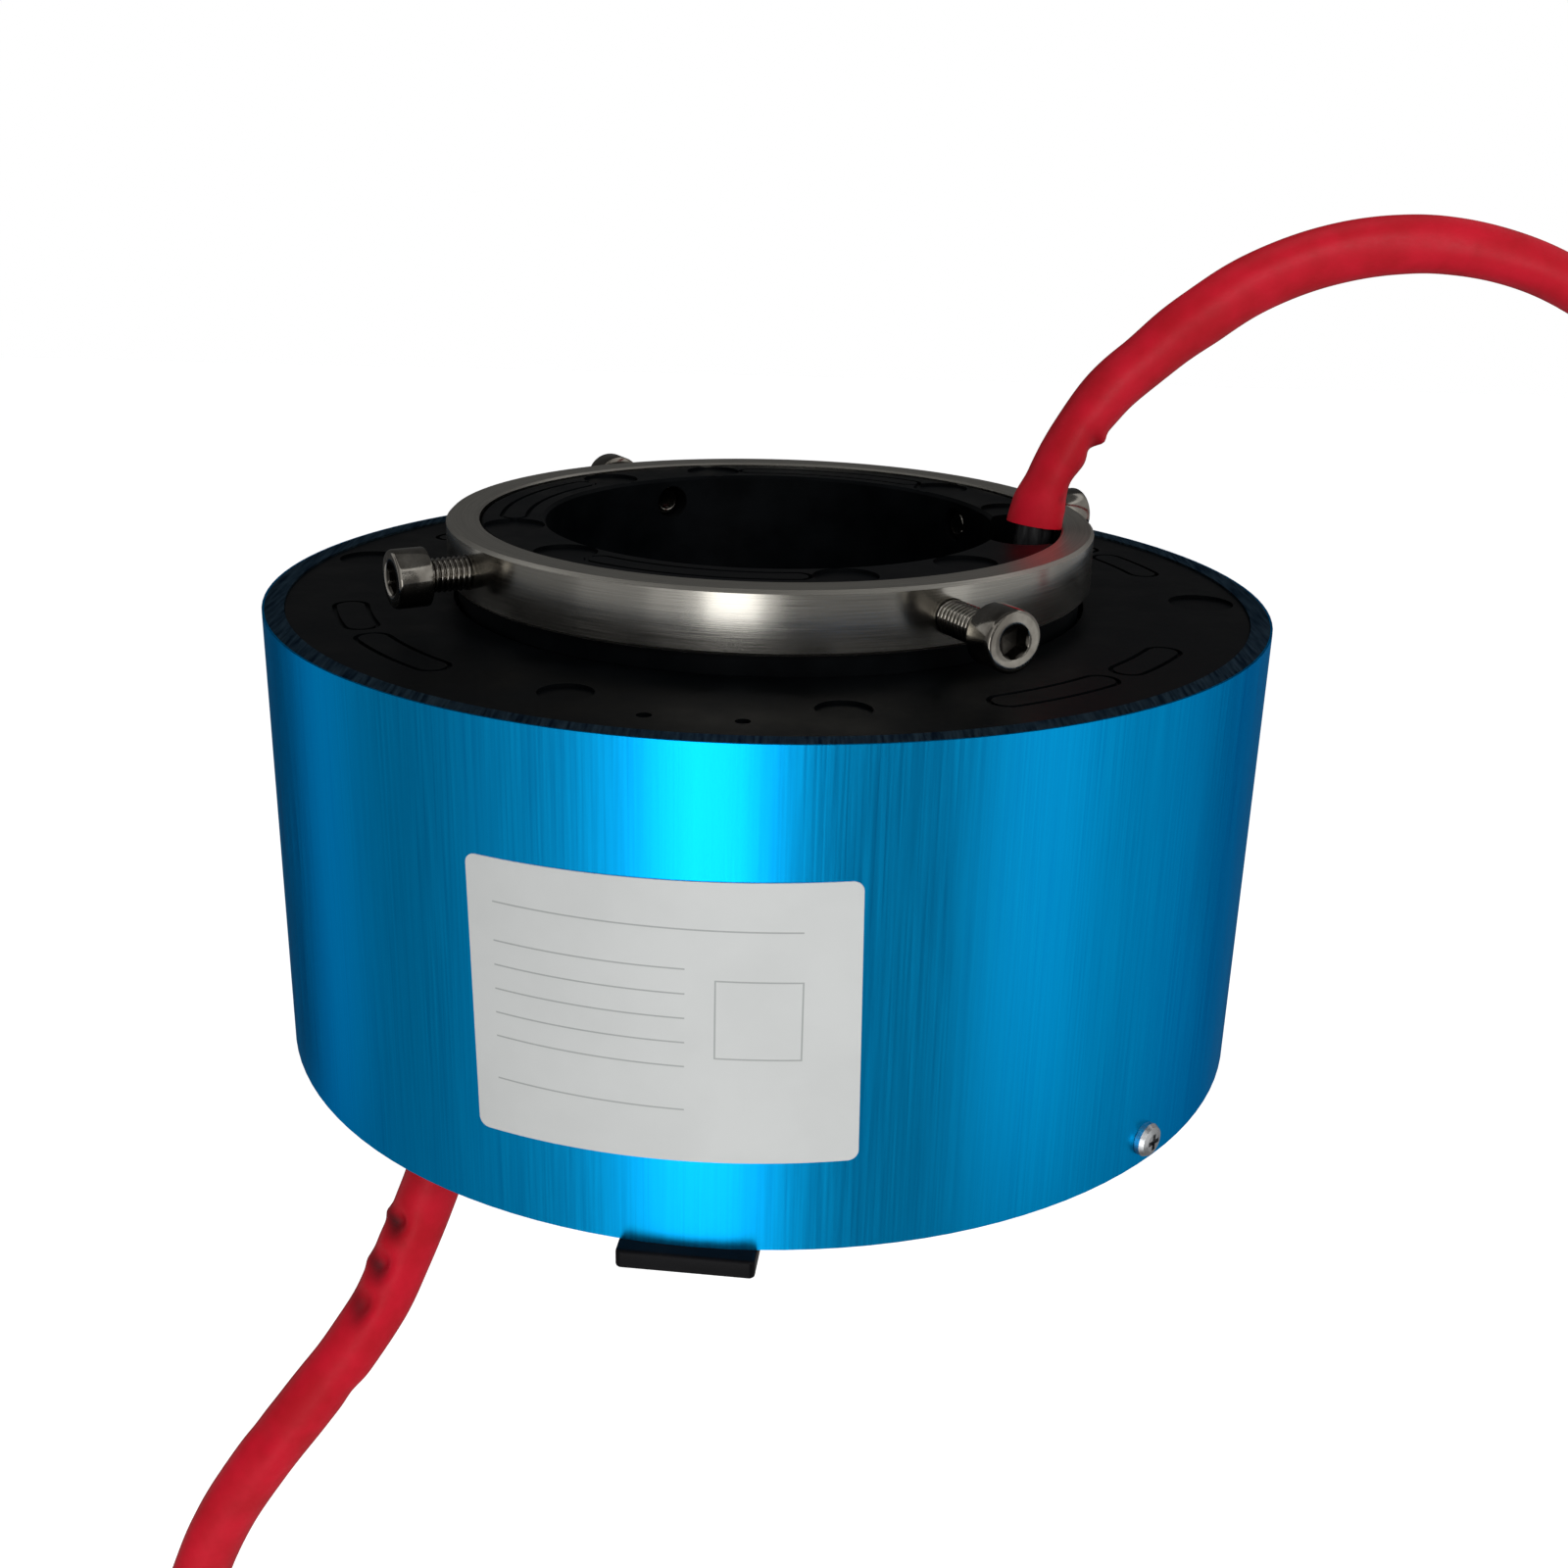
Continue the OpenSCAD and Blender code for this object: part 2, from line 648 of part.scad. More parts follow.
module anti_rotation_tab() {
    x0 = cover_ir + tab_in;
    x1 = shell_or + tab_reach;
    color("#141517") rotate(tab_az) difference() {
        translate([0, 0, -tab_h]) linear_extrude(tab_h) {
            translate([x0, -tab_w / 2]) square([x1 - x0 - tab_corner, tab_w]);
            translate([x1 - tab_corner - eps, -tab_w / 2 + tab_corner])
                square([tab_corner + eps, tab_w - 2 * tab_corner]);
            for (s = [-1, 1]) translate([x1 - tab_corner, s * (tab_w / 2 - tab_corner)])
                circle(r = tab_corner, $fn = 48);
        }
        for (r = tab_screw_r) translate([cover_ir + r, 0, -tab_h - 1]) {
            cylinder(d = inner_screw_d + slide, h = tab_h + 2);
            translate([0, 0, 1 - eps]) cylinder(d1 = inner_head_d + slide, d2 = inner_screw_d, h = 1.4);
        }
    }
}

module tab_screws() {
    color("#a9abaf") for (r = tab_screw_r) at(cover_ir + r, tab_az, -tab_h) difference() {
        union() {
            translate([0, 0, 0.15]) cylinder(d1 = inner_head_d - 0.2, d2 = inner_screw_d, h = 1.2);
            translate([0, 0, 0.15]) cylinder(d = inner_screw_d, h = tab_h + z_lower - 0.6);
        }
        cross_recess(2.6, 0.15);
    }
}

// Printed film label, bent round the shell
module rating_label() {
    mid = rim_z - label_top - label_h / 2;
    color("#c9cbca") difference() {
        intersection() {
            cylinder(r = shell_or + label_t, h = rim_z);
            rotate(label_az) translate([shell_or / 2, 0, mid]) rotate([label_tilt, 0, 0])
                rotate([90, 0, 90]) linear_extrude(shell_or)
                    round_plate(label_w, label_h, label_corner);
        }
        translate([0, 0, -1]) cylinder(r = shell_or, h = rim_z + 2);
    }
}

module round_plate(w, h, r) {
    square([w - 2 * r, h], center = true);
    square([w, h - 2 * r], center = true);
    for (x = [-1, 1], y = [-1, 1]) translate([x * (w / 2 - r), y * (h / 2 - r)])
        circle(r = r, $fn = 48);
}

// ---------- brush gear ----------

module brush_holder(s) {
    color("#24262a") rotate(holder_az[s]) difference() {
        block([holder_x, holder_x + holder_d], [-holder_w / 2, holder_w / 2],
            [z_lower, z_cover - holder_head]);
        for (i = RINGS) translate([holder_x - 1, 0, ring_z(i)]) rotate([0, 90, 0])
            cylinder(d = terminal_d + 2 * thread_gap, h = holder_d + 2, $fn = 24);
        for (y = [-1, 1]) translate([holder_x + holder_d / 2, y * holder_screw_y, z_lower - 1])
            cylinder(d = inner_screw_d + 2 * thread_gap, h = inner_screw_len);
    }
}

// Flat bar between two points in plan
module bar(p, q, t) {
    v = q - p;
    translate(p) rotate(atan2(v[1], v[0])) translate([0, -t / 2]) square([norm(v), t]);
}

// One bent leaf for each ring and holder: a flat root with a sprung arm at each end
module brush_springs() {
    back = ring_or + brush_back;
    root = [holder_x - leaf_t / 2, leaf_y];
    pad = [(back + leaf_t / 2) * cos(brush_az) + brush_w / 2 * sin(brush_az),
        (back + leaf_t / 2) * sin(brush_az) - brush_w / 2 * cos(brush_az)];
    color("#c98f4e") for (s = [0, 1], i = RINGS) rotate(holder_az[s])
        translate([0, 0, ring_z(i)]) difference() {
            union() {
                translate([0, 0, -leaf_w / 2]) linear_extrude(leaf_w)
                    for (y = [0, 1]) mirror([0, y]) {
                        bar([root[0], -eps], root, leaf_t);
                        translate(root) circle(d = leaf_t, $fn = 24);
                        bar(root, pad, leaf_t);
                        translate(pad) circle(d = leaf_t, $fn = 24);
                        rotate(brush_az) translate([back, -brush_w / 2]) square([leaf_t, brush_w]);
                    }
                block([holder_x - leaf_t, holder_x], [-leaf_root_w / 2, leaf_root_w / 2],
                    [-leaf_root_h / 2, leaf_root_h / 2]);
            }
            translate([holder_x - 1, 0, 0]) rotate([0, 90, 0])
                cylinder(d = terminal_d + 2 * thread_gap, h = 2, $fn = 24);
        }
}

module terminal_screws() {
    color("#c4c6c8") for (s = [0, 1], i = RINGS) rotate(holder_az[s])
        translate([holder_x - leaf_t, 0, ring_z(i)]) rotate([0, 90, 0]) {
            translate([0, 0, -terminal_head_h])
                cylinder(d = terminal_head_d, h = terminal_head_h, $fn = 32);
            cylinder(d = terminal_d, h = lead_r - wire_d / 2 - 0.15 - holder_x + leaf_t, $fn = 24);
        }
}

// Four copper-graphite blocks on one ring, two for each holder
module brush_set(i) {
    color("#3a2a24") for (s = [0, 1], y = [-1, 1]) rotate(holder_az[s] + y * brush_az)
        difference() {
            block([ring_or - 0.5, ring_or + brush_back], [-brush_w / 2, brush_w / 2],
                [ring_z(i) - leaf_w / 2, ring_z(i) + leaf_w / 2]);
            translate([0, 0, ring_z(i) - ring_h])
                cylinder(r = ring_or + brush_run, h = 2 * ring_h);
        }
}

function stator_wire_az(i) = exit_b_az + (i - 3.5) * stator_wire_step;

// Each wire runs round behind both holders at its ring's height, then down to the cable
module stator_leads() {
    color("#a3202c") for (i = RINGS) {
        a = stator_wire_az(i);
        round_back = [for (b = [0 : arc_step : a + 360 - arc_step]) polar(lead_r, b, ring_z(i))];
        drop = eased([polar(lead_r, a - arc_step / 2, ring_z(i)), polar(lead_r, a, ring_z(i)),
            polar(lead_r, a, z_fan_b), bunch_at(stator_exit_r, exit_b_az, z_bunch_b, i - 1),
            bunch_at(stator_exit_r, exit_b_az, z_cable_b, i - 1)], wire_bend);
        swept(concat(round_back, drop), wire_d, wire_sides);
    }
}

// ---------- cables ----------

function unit(v) = v / norm(v);

// Direction of a route at point k
function way(p, k) = unit(p[min(k + 1, len(p) - 1)] - p[max(k - 1, 0)]);

// The part of u that lies across the direction t
function across(u, t) = unit(u - (u * t) * t);

// A route with each of its corners rounded, from r before the corner to r behind it
function eased(p, r) = concat([p[0]], [for (k = [1 : len(p) - 2])
    let (a = p[k] + r * unit(p[k - 1] - p[k]), b = p[k] + r * unit(p[k + 1] - p[k]))
    for (t = [0 : 0.25 : 1]) (1 - t) * (1 - t) * a + 2 * t * (1 - t) * p[k] + t * t * b],
    [p[len(p) - 1]]);

// Rings of n points along a route, and the closed skin between them
module swept(p, d, n) {
    first = way(p, 0);
    aside = abs(first[2]) > 0.9 ? [1, 0, 0] : [0, 0, 1];
    points = [for (k = 0, t = first, u = across(aside, first); k < len(p);
            k = k + 1, t = way(p, min(k, len(p) - 1)), u = across(u, t))
        let (v = cross(t, u))
        for (j = [0 : n - 1]) p[k] + d / 2 * (cos(360 * j / n) * u + sin(360 * j / n) * v)];
    last = (len(p) - 1) * n;
    polyhedron(points, concat([[for (j = [0 : n - 1]) j]],
        [for (k = [0 : len(p) - 2], j = [0 : n - 1])
            [k * n + j, (k + 1) * n + j, (k + 1) * n + (j + 1) % n, k * n + (j + 1) % n]],
        [[for (j = [n - 1 : -1 : 0]) last + j]]), convexity = 8);
}

module rotor_cable() {
    color("#b3162b") swept(rotor_route, cable_d, cable_sides);
}

module stator_cable() {
    color("#b3162b") swept(stator_route, cable_d, cable_sides);
}

// Bare ends of the six wires, straight out of the sleeve
module tails(p) {
    e = p[len(p) - 1];
    t = unit(e - p[len(p) - 2]);
    u = unit(cross(t, [0, 1, 0]));
    v = cross(t, u);
    for (k = [0 : 5]) {
        q = e + bunch(k)[0] * u + bunch(k)[1] * v;
        rod(q, q + tail_len[k] * t, wire_d);
    }
}

module rotor_lead_tails() {
    color("#a3202c") tails(rotor_route);
}

module stator_lead_tails() {
    color("#a3202c") tails(stator_route);
}

rotor_sleeve();
rotor_base();
clamp_collar();
inner_race(z_lower);  // inner_race_lower
inner_race(z_upper);  // inner_race_upper
for (i = RINGS) {
    insulator(i);
    collector_ring(i);
    brush_set(i);
}
end_barrier();
tie_screws();
rotor_leads();
rotor_cable();
rotor_lead_tails();
for (k = [1 : 4]) {
    clamp_screw(k);
}
ball_cage(z_lower);  // ball_cage_lower
balls(z_lower);  // balls_lower
ball_cage(z_upper);  // ball_cage_upper
balls(z_upper);  // balls_upper
housing_shell();
top_cover();
bottom_cover();
standoffs();
cover_screws();
shell_screws();
anti_rotation_tab();
tab_screws();
rating_label();
outer_race(z_lower);  // outer_race_lower
outer_race(z_upper);  // outer_race_upper
brush_holder(0);  // brush_holder_left
brush_holder(1);  // brush_holder_right
holder_screws();
brush_springs();
terminal_screws();
stator_leads();
stator_cable();
stator_lead_tails();
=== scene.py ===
# %% [markdown]
# # Dressing a through-bore slip ring
#
# A slip ring carries power across a turning joint. Its black rotor is clamped on a shaft by a steel
# collar, and its blue housing is held still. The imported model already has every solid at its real
# size. This lesson adds what the eye judges: red sleeved leads, threaded screws and real finishes.

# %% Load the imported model
import json
import math

import bmesh
import bpy
from mathutils import Matrix, Vector


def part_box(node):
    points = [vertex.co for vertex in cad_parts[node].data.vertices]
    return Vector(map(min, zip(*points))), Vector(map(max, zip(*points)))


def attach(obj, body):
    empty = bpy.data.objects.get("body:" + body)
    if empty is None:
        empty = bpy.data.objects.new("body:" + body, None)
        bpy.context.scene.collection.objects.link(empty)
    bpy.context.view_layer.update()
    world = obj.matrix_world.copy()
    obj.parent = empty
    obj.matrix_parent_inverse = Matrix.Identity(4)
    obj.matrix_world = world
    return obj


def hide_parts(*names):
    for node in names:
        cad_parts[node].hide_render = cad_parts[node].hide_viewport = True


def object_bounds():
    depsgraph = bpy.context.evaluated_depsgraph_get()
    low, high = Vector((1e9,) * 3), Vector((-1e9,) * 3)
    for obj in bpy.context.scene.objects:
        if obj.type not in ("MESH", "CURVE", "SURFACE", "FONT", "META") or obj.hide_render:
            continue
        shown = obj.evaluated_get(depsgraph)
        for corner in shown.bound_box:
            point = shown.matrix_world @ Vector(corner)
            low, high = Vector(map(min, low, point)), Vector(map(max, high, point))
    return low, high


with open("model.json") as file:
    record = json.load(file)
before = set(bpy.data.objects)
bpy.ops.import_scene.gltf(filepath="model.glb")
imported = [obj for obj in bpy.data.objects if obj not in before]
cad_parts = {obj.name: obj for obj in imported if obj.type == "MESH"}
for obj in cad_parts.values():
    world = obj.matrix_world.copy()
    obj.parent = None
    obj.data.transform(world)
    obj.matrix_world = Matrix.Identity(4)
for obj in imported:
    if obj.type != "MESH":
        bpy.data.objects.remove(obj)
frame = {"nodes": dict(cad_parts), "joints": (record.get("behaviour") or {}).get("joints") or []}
nodes = frame["nodes"]
cad_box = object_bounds()
MM = 0.001
print("CAD box, mm:", [[round(x / MM, 1) for x in corner] for corner in cad_box])

# %% [markdown]
# ## Sizes read from the model
#
# The shell, the rotor and the label tell where they are, and some new pieces and finishes take
# their places from them.

# %% Read the main sizes
shell_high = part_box("housing_shell")[1]
shell_r = shell_high.x
rim_z = shell_high.z
face_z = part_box("rotor_sleeve")[1].z
label_low, label_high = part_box("rating_label")
axes = {joint["child"]: Vector(joint["axis"]) for joint in frame["joints"]}
print("shell radius, rim, rotor face, mm:", [round(x / MM, 1) for x in (shell_r, rim_z, face_z)])

# %% [markdown]
# ## Camera
#
# The camera stands in front of the housing and a little above it, and looks down by 20 degrees. It
# is turned by a degree and a half about its own line of sight, as a hand-held camera is.

# %% Set up the camera
def into_scene(name, data):
    """A new object at the origin, linked to the scene."""
    made = bpy.data.objects.new(name, data)
    bpy.context.scene.collection.objects.link(made)
    return made


CAMERA_PLACE = Vector((0.0031, -0.27257, 0.13685))
LOOK_DOWN = math.radians(20.18)
CAMERA_ROLL = math.radians(1.435)
camera = into_scene("Camera", bpy.data.cameras.new("Camera"))
camera.data.lens = 40.35
camera.data.sensor_width = 36
camera.data.clip_start = 0.005
camera.matrix_world = (Matrix.Translation(CAMERA_PLACE)
    @ Matrix.Rotation(math.pi / 2 - LOOK_DOWN, 4, "X") @ Matrix.Rotation(CAMERA_ROLL, 4, "Z"))
bpy.context.scene.camera = camera
print("camera place, mm:", [round(x / MM) for x in CAMERA_PLACE])

# %% [markdown]
# ## Helpers for nodes and colours
#
# A colour is written as the hex value that a designer would pick on a screen. Blender works in
# linear light, so one function converts it. Another adds a node with its settings and its links,
# which keeps each material as short as its description.

# %% Define the colour and node helpers
def linear(hex_colour):
    """The linear RGBA of an sRGB colour such as #0A7AB8."""
    channels = [int(hex_colour[i:i + 2], 16) / 255 for i in (1, 3, 5)]
    return [c / 12.92 if c <= 0.04045 else ((c + 0.055) / 1.055) ** 2.4 for c in channels] + [1.0]


def add(tree, kind, inputs=None, **settings):
    """Adds one node. An input's value is a plain value, or the socket that feeds it."""
    node = tree.nodes.new(kind)
    for name, value in settings.items():
        setattr(node, name, value)
    for key, value in (inputs or {}).items():
        if isinstance(value, bpy.types.NodeSocket):
            tree.links.new(value, node.inputs[key])
        else:
            node.inputs[key].default_value = value
    return node


def start_material(name, metallic, roughness, **shader_values):
    """A material with its shader's own sockets set: (material, tree, shader)."""
    material = bpy.data.materials.new(name)
    material.use_nodes = True
    tree = material.node_tree
    shader = tree.nodes["Principled BSDF"]
    shader.inputs["Metallic"].default_value = metallic
    shader.inputs["Roughness"].default_value = roughness
    for key, value in shader_values.items():
        shader.inputs[key.replace("_", " ")].default_value = value
    return material, tree, shader


def math_node(tree, operation, first, second=0.0):
    """The result of one sum."""
    return add(tree, "ShaderNodeMath", {0: first, 1: second}, operation=operation).outputs[0]


def noise(tree, vector, scale, detail=3.0, roughness=0.55):
    """A noise pattern with that many features a unit."""
    return add(tree, "ShaderNodeTexNoise", {"Vector": vector, "Scale": scale, "Detail": detail,
        "Roughness": roughness}).outputs["Fac"]


def spread(tree, value, low, high, out_low, out_high):
    """Stretches a pattern's range from low..high to out_low..out_high."""
    return add(tree, "ShaderNodeMapRange", {"Value": value, "From Min": low, "From Max": high,
        "To Min": out_low, "To Max": out_high}).outputs["Result"]


def blend_colours(tree, amount, first, second):
    """A colour between two, each a hex value or a socket."""
    mix = add(tree, "ShaderNodeMix", {0: amount}, data_type="RGBA")
    for key, value in ((6, first), (7, second)):
        if isinstance(value, str):
            mix.inputs[key].default_value = linear(value)
        else:
            tree.links.new(value, mix.inputs[key])
    return mix.outputs[2]


def object_place(tree, stretch=(1.0, 1.0, 1.0)):
    """Object coordinates, squeezed or stretched along each axis."""
    place = add(tree, "ShaderNodeTexCoord").outputs["Object"]
    return add(tree, "ShaderNodeMapping", {"Vector": place, "Scale": stretch}).outputs["Vector"]


def bump(tree, shader, height, depth_mm, strength=1.0):
    """Feeds a height pattern, from 0 to 1, to the shader as relief of that depth."""
    relief = add(tree, "ShaderNodeBump",
        {"Height": height, "Distance": depth_mm * MM, "Strength": strength})
    tree.links.new(relief.outputs["Normal"], shader.inputs["Normal"])


# %% [markdown]
# ## Finishes
#
# Each material starts from what the real one is and how its surface was made. The scale of each
# pattern is a real size in millimetres, turned into features a metre.

# %% Blue anodised aluminium, extruded and sawn
def anodised_tube():
    """Clear blue anodising keeps the fine drawn lines of an extruded tube. They run along the
    axis, so highlights smear round the shell. Every face inward of the outer side, such as the sawn
    rim and the bore, is drawn rougher and nearly black."""
    material, tree, shader = start_material("Anodised aluminium, blue", 1.0, 0.3,
        Specular_Tint=linear("#6AA4CA"))
    fine_line = 0.35
    band = 7.0
    lines = noise(tree, object_place(tree, (1, 1, 0.012)), 1 / (fine_line * MM), 4.0, 0.6)
    bands = noise(tree, object_place(tree, (1, 1, 0.05)), 1 / (band * MM), 2.0)
    tint = blend_colours(tree, spread(tree, bands, 0.3, 0.7, 0.0, 1.0), "#0593D8", "#059CE0")
    tint = blend_colours(tree, spread(tree, lines, 0.3, 0.7, 0.0, 1.0), tint, "#07A8EA")
    place = add(tree, "ShaderNodeVectorMath", {0: object_place(tree, (1, 1, 0))}, operation="LENGTH")
    sawn = math_node(tree, "LESS_THAN", place.outputs["Value"], shell_r - 0.35 * MM)
    teeth = noise(tree, object_place(tree, (1, 0.06, 1)), 1 / (0.5 * MM), 3.0)
    rim = blend_colours(tree, spread(tree, teeth, 0.35, 0.65, 0, 1), "#1A262D", "#43535D")
    tree.links.new(blend_colours(tree, sawn, tint, rim), shader.inputs["Base Color"])
    gloss = spread(tree, lines, 0.3, 0.7, 0.28, 0.38)
    rough = add(tree, "ShaderNodeMix", {0: sawn, 2: gloss, 3: 0.5}).outputs[0]
    tree.links.new(rough, shader.inputs["Roughness"])
    relief = add(tree, "ShaderNodeMix", {0: sawn, 2: lines, 3: teeth}).outputs[0]
    bump(tree, shader, relief, 0.015, 0.3)
    return material


# %% Black glass-filled plastic
def moulded_plastic(name, dark, pale, rough):
    """Glass fibres in the plastic leave a faint mottled gloss and a fine grain on the face."""
    material, tree, shader = start_material(name, 0.0, rough, Specular_IOR_Level=0.05)
    mottle = noise(tree, object_place(tree), 1 / (9 * MM), 4.0)
    grain = noise(tree, object_place(tree), 1 / (0.25 * MM), 2.0)
    shade = spread(tree, mottle, 0.35, 0.7, 0, 1)
    tree.links.new(blend_colours(tree, shade, dark, pale), shader.inputs["Base Color"])
    gloss = spread(tree, mottle, 0.3, 0.7, rough - 0.07, rough + 0.09)
    tree.links.new(gloss, shader.inputs["Roughness"])
    bump(tree, shader, grain, 0.01, 0.35)
    return material


# %% Stainless steel, turned and brushed round the axis
def brushed_round(name, dark, pale, rough):
    """A belt leaves fine scratches that run round the collar's polished side. Its two turned
    faces are duller. The scratches are drawn twice as coarse as real ones, so that they show."""
    material, tree, shader = start_material(name, 1.0, rough)
    place = add(tree, "ShaderNodeSeparateXYZ",
        {"Vector": add(tree, "ShaderNodeTexCoord").outputs["Object"]})
    x, y, z = (place.outputs[k] for k in range(3))
    radius = math_node(tree, "SQRT", math_node(tree, "ADD", math_node(tree, "MULTIPLY", x, x),
        math_node(tree, "MULTIPLY", y, y)))
    turn = math_node(tree, "MULTIPLY", math_node(tree, "ARCTAN2", y, x), 0.5 * MM)
    across = add(tree, "ShaderNodeCombineXYZ", {"X": radius, "Y": turn, "Z": z}).outputs["Vector"]
    scratches = noise(tree, across, 1 / (0.14 * MM), 3.0, 0.6)
    stains = noise(tree, object_place(tree), 1 / (14 * MM), 3.0)
    tint = blend_colours(tree, spread(tree, scratches, 0.3, 0.7, 0, 1), dark, pale)
    tint = blend_colours(tree, spread(tree, stains, 0.5, 0.75, 0, 0.35), tint, dark)
    tree.links.new(tint, shader.inputs["Base Color"])
    up = add(tree, "ShaderNodeSeparateXYZ",
        {"Vector": add(tree, "ShaderNodeNewGeometry").outputs["Normal"]}).outputs["Z"]
    faced = math_node(tree, "GREATER_THAN", math_node(tree, "ABSOLUTE", up), 0.5)
    polish = spread(tree, scratches, 0.3, 0.7, rough - 0.02, rough + 0.06)
    gloss = add(tree, "ShaderNodeMix", {0: faced, 2: polish, 3: 0.38}).outputs[0]
    tree.links.new(gloss, shader.inputs["Roughness"])
    bump(tree, shader, scratches, 0.008, 0.35)
    return material


# %% Plain metals: screws, bearings, springs and rings
def plain_metal(name, dark, pale, rough, grit=0.3):
    """Small turned or rolled parts: an even metal with fine scuffs and a little tarnish."""
    material, tree, shader = start_material(name, 1.0, rough)
    scuffs = noise(tree, object_place(tree), 1 / (grit * MM), 3.0)
    tarnish = noise(tree, object_place(tree), 1 / (4 * MM), 3.0)
    tree.links.new(blend_colours(tree, spread(tree, tarnish, 0.35, 0.65, 0, 1), pale, dark),
        shader.inputs["Base Color"])
    tree.links.new(spread(tree, scuffs, 0.3, 0.7, rough - 0.03, rough + 0.06),
        shader.inputs["Roughness"])
    bump(tree, shader, scuffs, 0.004, 0.15)
    return material


# %% Red heat-shrink sleeve
def heat_shrink():
    """Shrunk polyolefin is satin, a little uneven in colour where it stretched over the wires. Its
    creases are painted dark maroon, as painted shade."""
    material, tree, shader = start_material("Heat-shrink sleeve, red", 0.0, 0.46,
        Specular_IOR_Level=0.15)
    stretch = noise(tree, object_place(tree), 1 / (6 * MM), 3.0)
    skin = noise(tree, object_place(tree), 1 / (0.5 * MM), 3.0)
    film = blend_colours(tree, spread(tree, stretch, 0.35, 0.65, 0, 1), "#AE061A", "#C00A24")
    # Painted shade: the red turns dark maroon where points are marked as lying in a crease.
    crease_shade = add(tree, "ShaderNodeAttribute", attribute_name="crease_shade").outputs["Fac"]
    tree.links.new(blend_colours(tree, crease_shade, film, "#35040A"), shader.inputs["Base Color"])
    tree.links.new(spread(tree, skin, 0.3, 0.7, 0.42, 0.54), shader.inputs["Roughness"])
    bump(tree, shader, skin, 0.015, 0.4)
    return material


# %% Wire insulation
def insulation(name, colour, shade):
    """Extruded PVC: smooth and slightly glossy, with faint die lines along the wire."""
    material, tree, shader = start_material(name, 0.0, 0.35)
    lines = noise(tree, object_place(tree, (1, 1, 0.1)), 1 / (0.3 * MM), 2.0)
    tree.links.new(blend_colours(tree, spread(tree, lines, 0.3, 0.7, 0, 1), colour, shade),
        shader.inputs["Base Color"])
    tree.links.new(spread(tree, lines, 0.3, 0.7, 0.3, 0.42), shader.inputs["Roughness"])
    return material


# %% [markdown]
# The label is a printed film. Its print is left blank on purpose, as ruled lines and an empty square,
# each drawn by comparing a place on the label with the sides of a box in millimetres.

# %% Label film
def within(tree, value, low, high):
    """1 where a value lies between two limits, and 0 elsewhere."""
    above = math_node(tree, "GREATER_THAN", value, low)
    return math_node(tree, "MULTIPLY", above, math_node(tree, "LESS_THAN", value, high))


def printed_box(tree, u, v, left, right, top, bottom):
    """1 inside a box on the label. Its sides are in mm: u from the middle, v from the top."""
    return math_node(tree, "MULTIPLY", within(tree, u, left, right), within(tree, v, top, bottom))


def label_film():
    """Matt silver-grey polyester film, printed as a blank form: ruled lines, and an empty square
    at the right. It carries no words."""
    material, tree, shader = start_material("Polyester label film, pale grey", 0.0, 0.5,
        Specular_IOR_Level=0.3)
    middle = (label_low + label_high) / 2
    right = Vector((-middle.y, middle.x, 0)).normalized() / MM
    place = add(tree, "ShaderNodeTexCoord").outputs["Object"]
    u = add(tree, "ShaderNodeVectorMath", {0: place, 1: right}, operation="DOT_PRODUCT").outputs[1]
    height = add(tree, "ShaderNodeSeparateXYZ", {"Vector": place}).outputs["Z"]
    v = math_node(tree, "MULTIPLY", math_node(tree, "SUBTRACT", label_high.z, height), 1 / MM)
    first_row, row, line, margin = 12.0, 3.4, 0.22, 22
    beat = math_node(tree, "MODULO", math_node(tree, "SUBTRACT", v, first_row), row)
    ink = math_node(tree, "MULTIPLY", math_node(tree, "LESS_THAN", beat, line),
        printed_box(tree, u, v, -margin, 3.5, first_row, first_row + 4.5 * row))
    for box in ((-margin, margin - 4, 6.6, 6.6 + line), (-margin, 3.5, 31.8, 31.8 + line)):
        ink = math_node(tree, "MAXIMUM", ink, printed_box(tree, u, v, *box))
    square = math_node(tree, "SUBTRACT", printed_box(tree, u, v, 7.2, 18.2, 13.4, 24.4),
        printed_box(tree, u, v, 7.2 + line, 18.2 - line, 13.4 + line, 24.4 - line))
    ink = math_node(tree, "MULTIPLY", math_node(tree, "MAXIMUM", ink, square), 0.7)
    cloud = noise(tree, object_place(tree), 1 / (12 * MM), 3.0)
    speckle = noise(tree, object_place(tree), 1 / (0.2 * MM), 2.0)
    film = blend_colours(tree, spread(tree, cloud, 0.35, 0.65, 0, 1), "#C3C5C4", "#C7C9C8")
    tree.links.new(blend_colours(tree, ink, film, "#8A8E8D"), shader.inputs["Base Color"])
    tree.links.new(spread(tree, speckle, 0.3, 0.7, 0.42, 0.56), shader.inputs["Roughness"])
    bump(tree, shader, cloud, 0.03, 0.1)
    return material


# %% Make the materials
black_plastic = moulded_plastic("Glass-filled nylon, black", "#020304", "#06080A", 0.4)
grey_plastic = moulded_plastic("Glass-filled PBT, dark grey", "#2A2C30", "#36383D", 0.45)
tab_coat = moulded_plastic("Powder-coated steel, black", "#08080A", "#101012", 0.32)
graphite = moulded_plastic("Copper graphite", "#33241D", "#4A342A", 0.5)
collar_steel = brushed_round("Stainless steel, brushed", "#95928B", "#B1AEA6", 0.17)
screw_steel = plain_metal("Nickel-plated steel", "#716D66", "#9A968E", 0.11)
socket_shade_steel = plain_metal("Steel, dark as painted socket shade", "#2A2825", "#4B4843", 0.3)
zinc_steel = plain_metal("Zinc-plated steel", "#9A9C9E", "#C9CBCC", 0.28)
bearing_steel = plain_metal("Ground bearing steel", "#B4B6B9", "#D2D4D7", 0.16)
turned_aluminium = plain_metal("Turned aluminium", "#B5B7BA", "#D0D2D4", 0.32)
brass = plain_metal("Brass", "#A9863C", "#D0AE5C", 0.25)
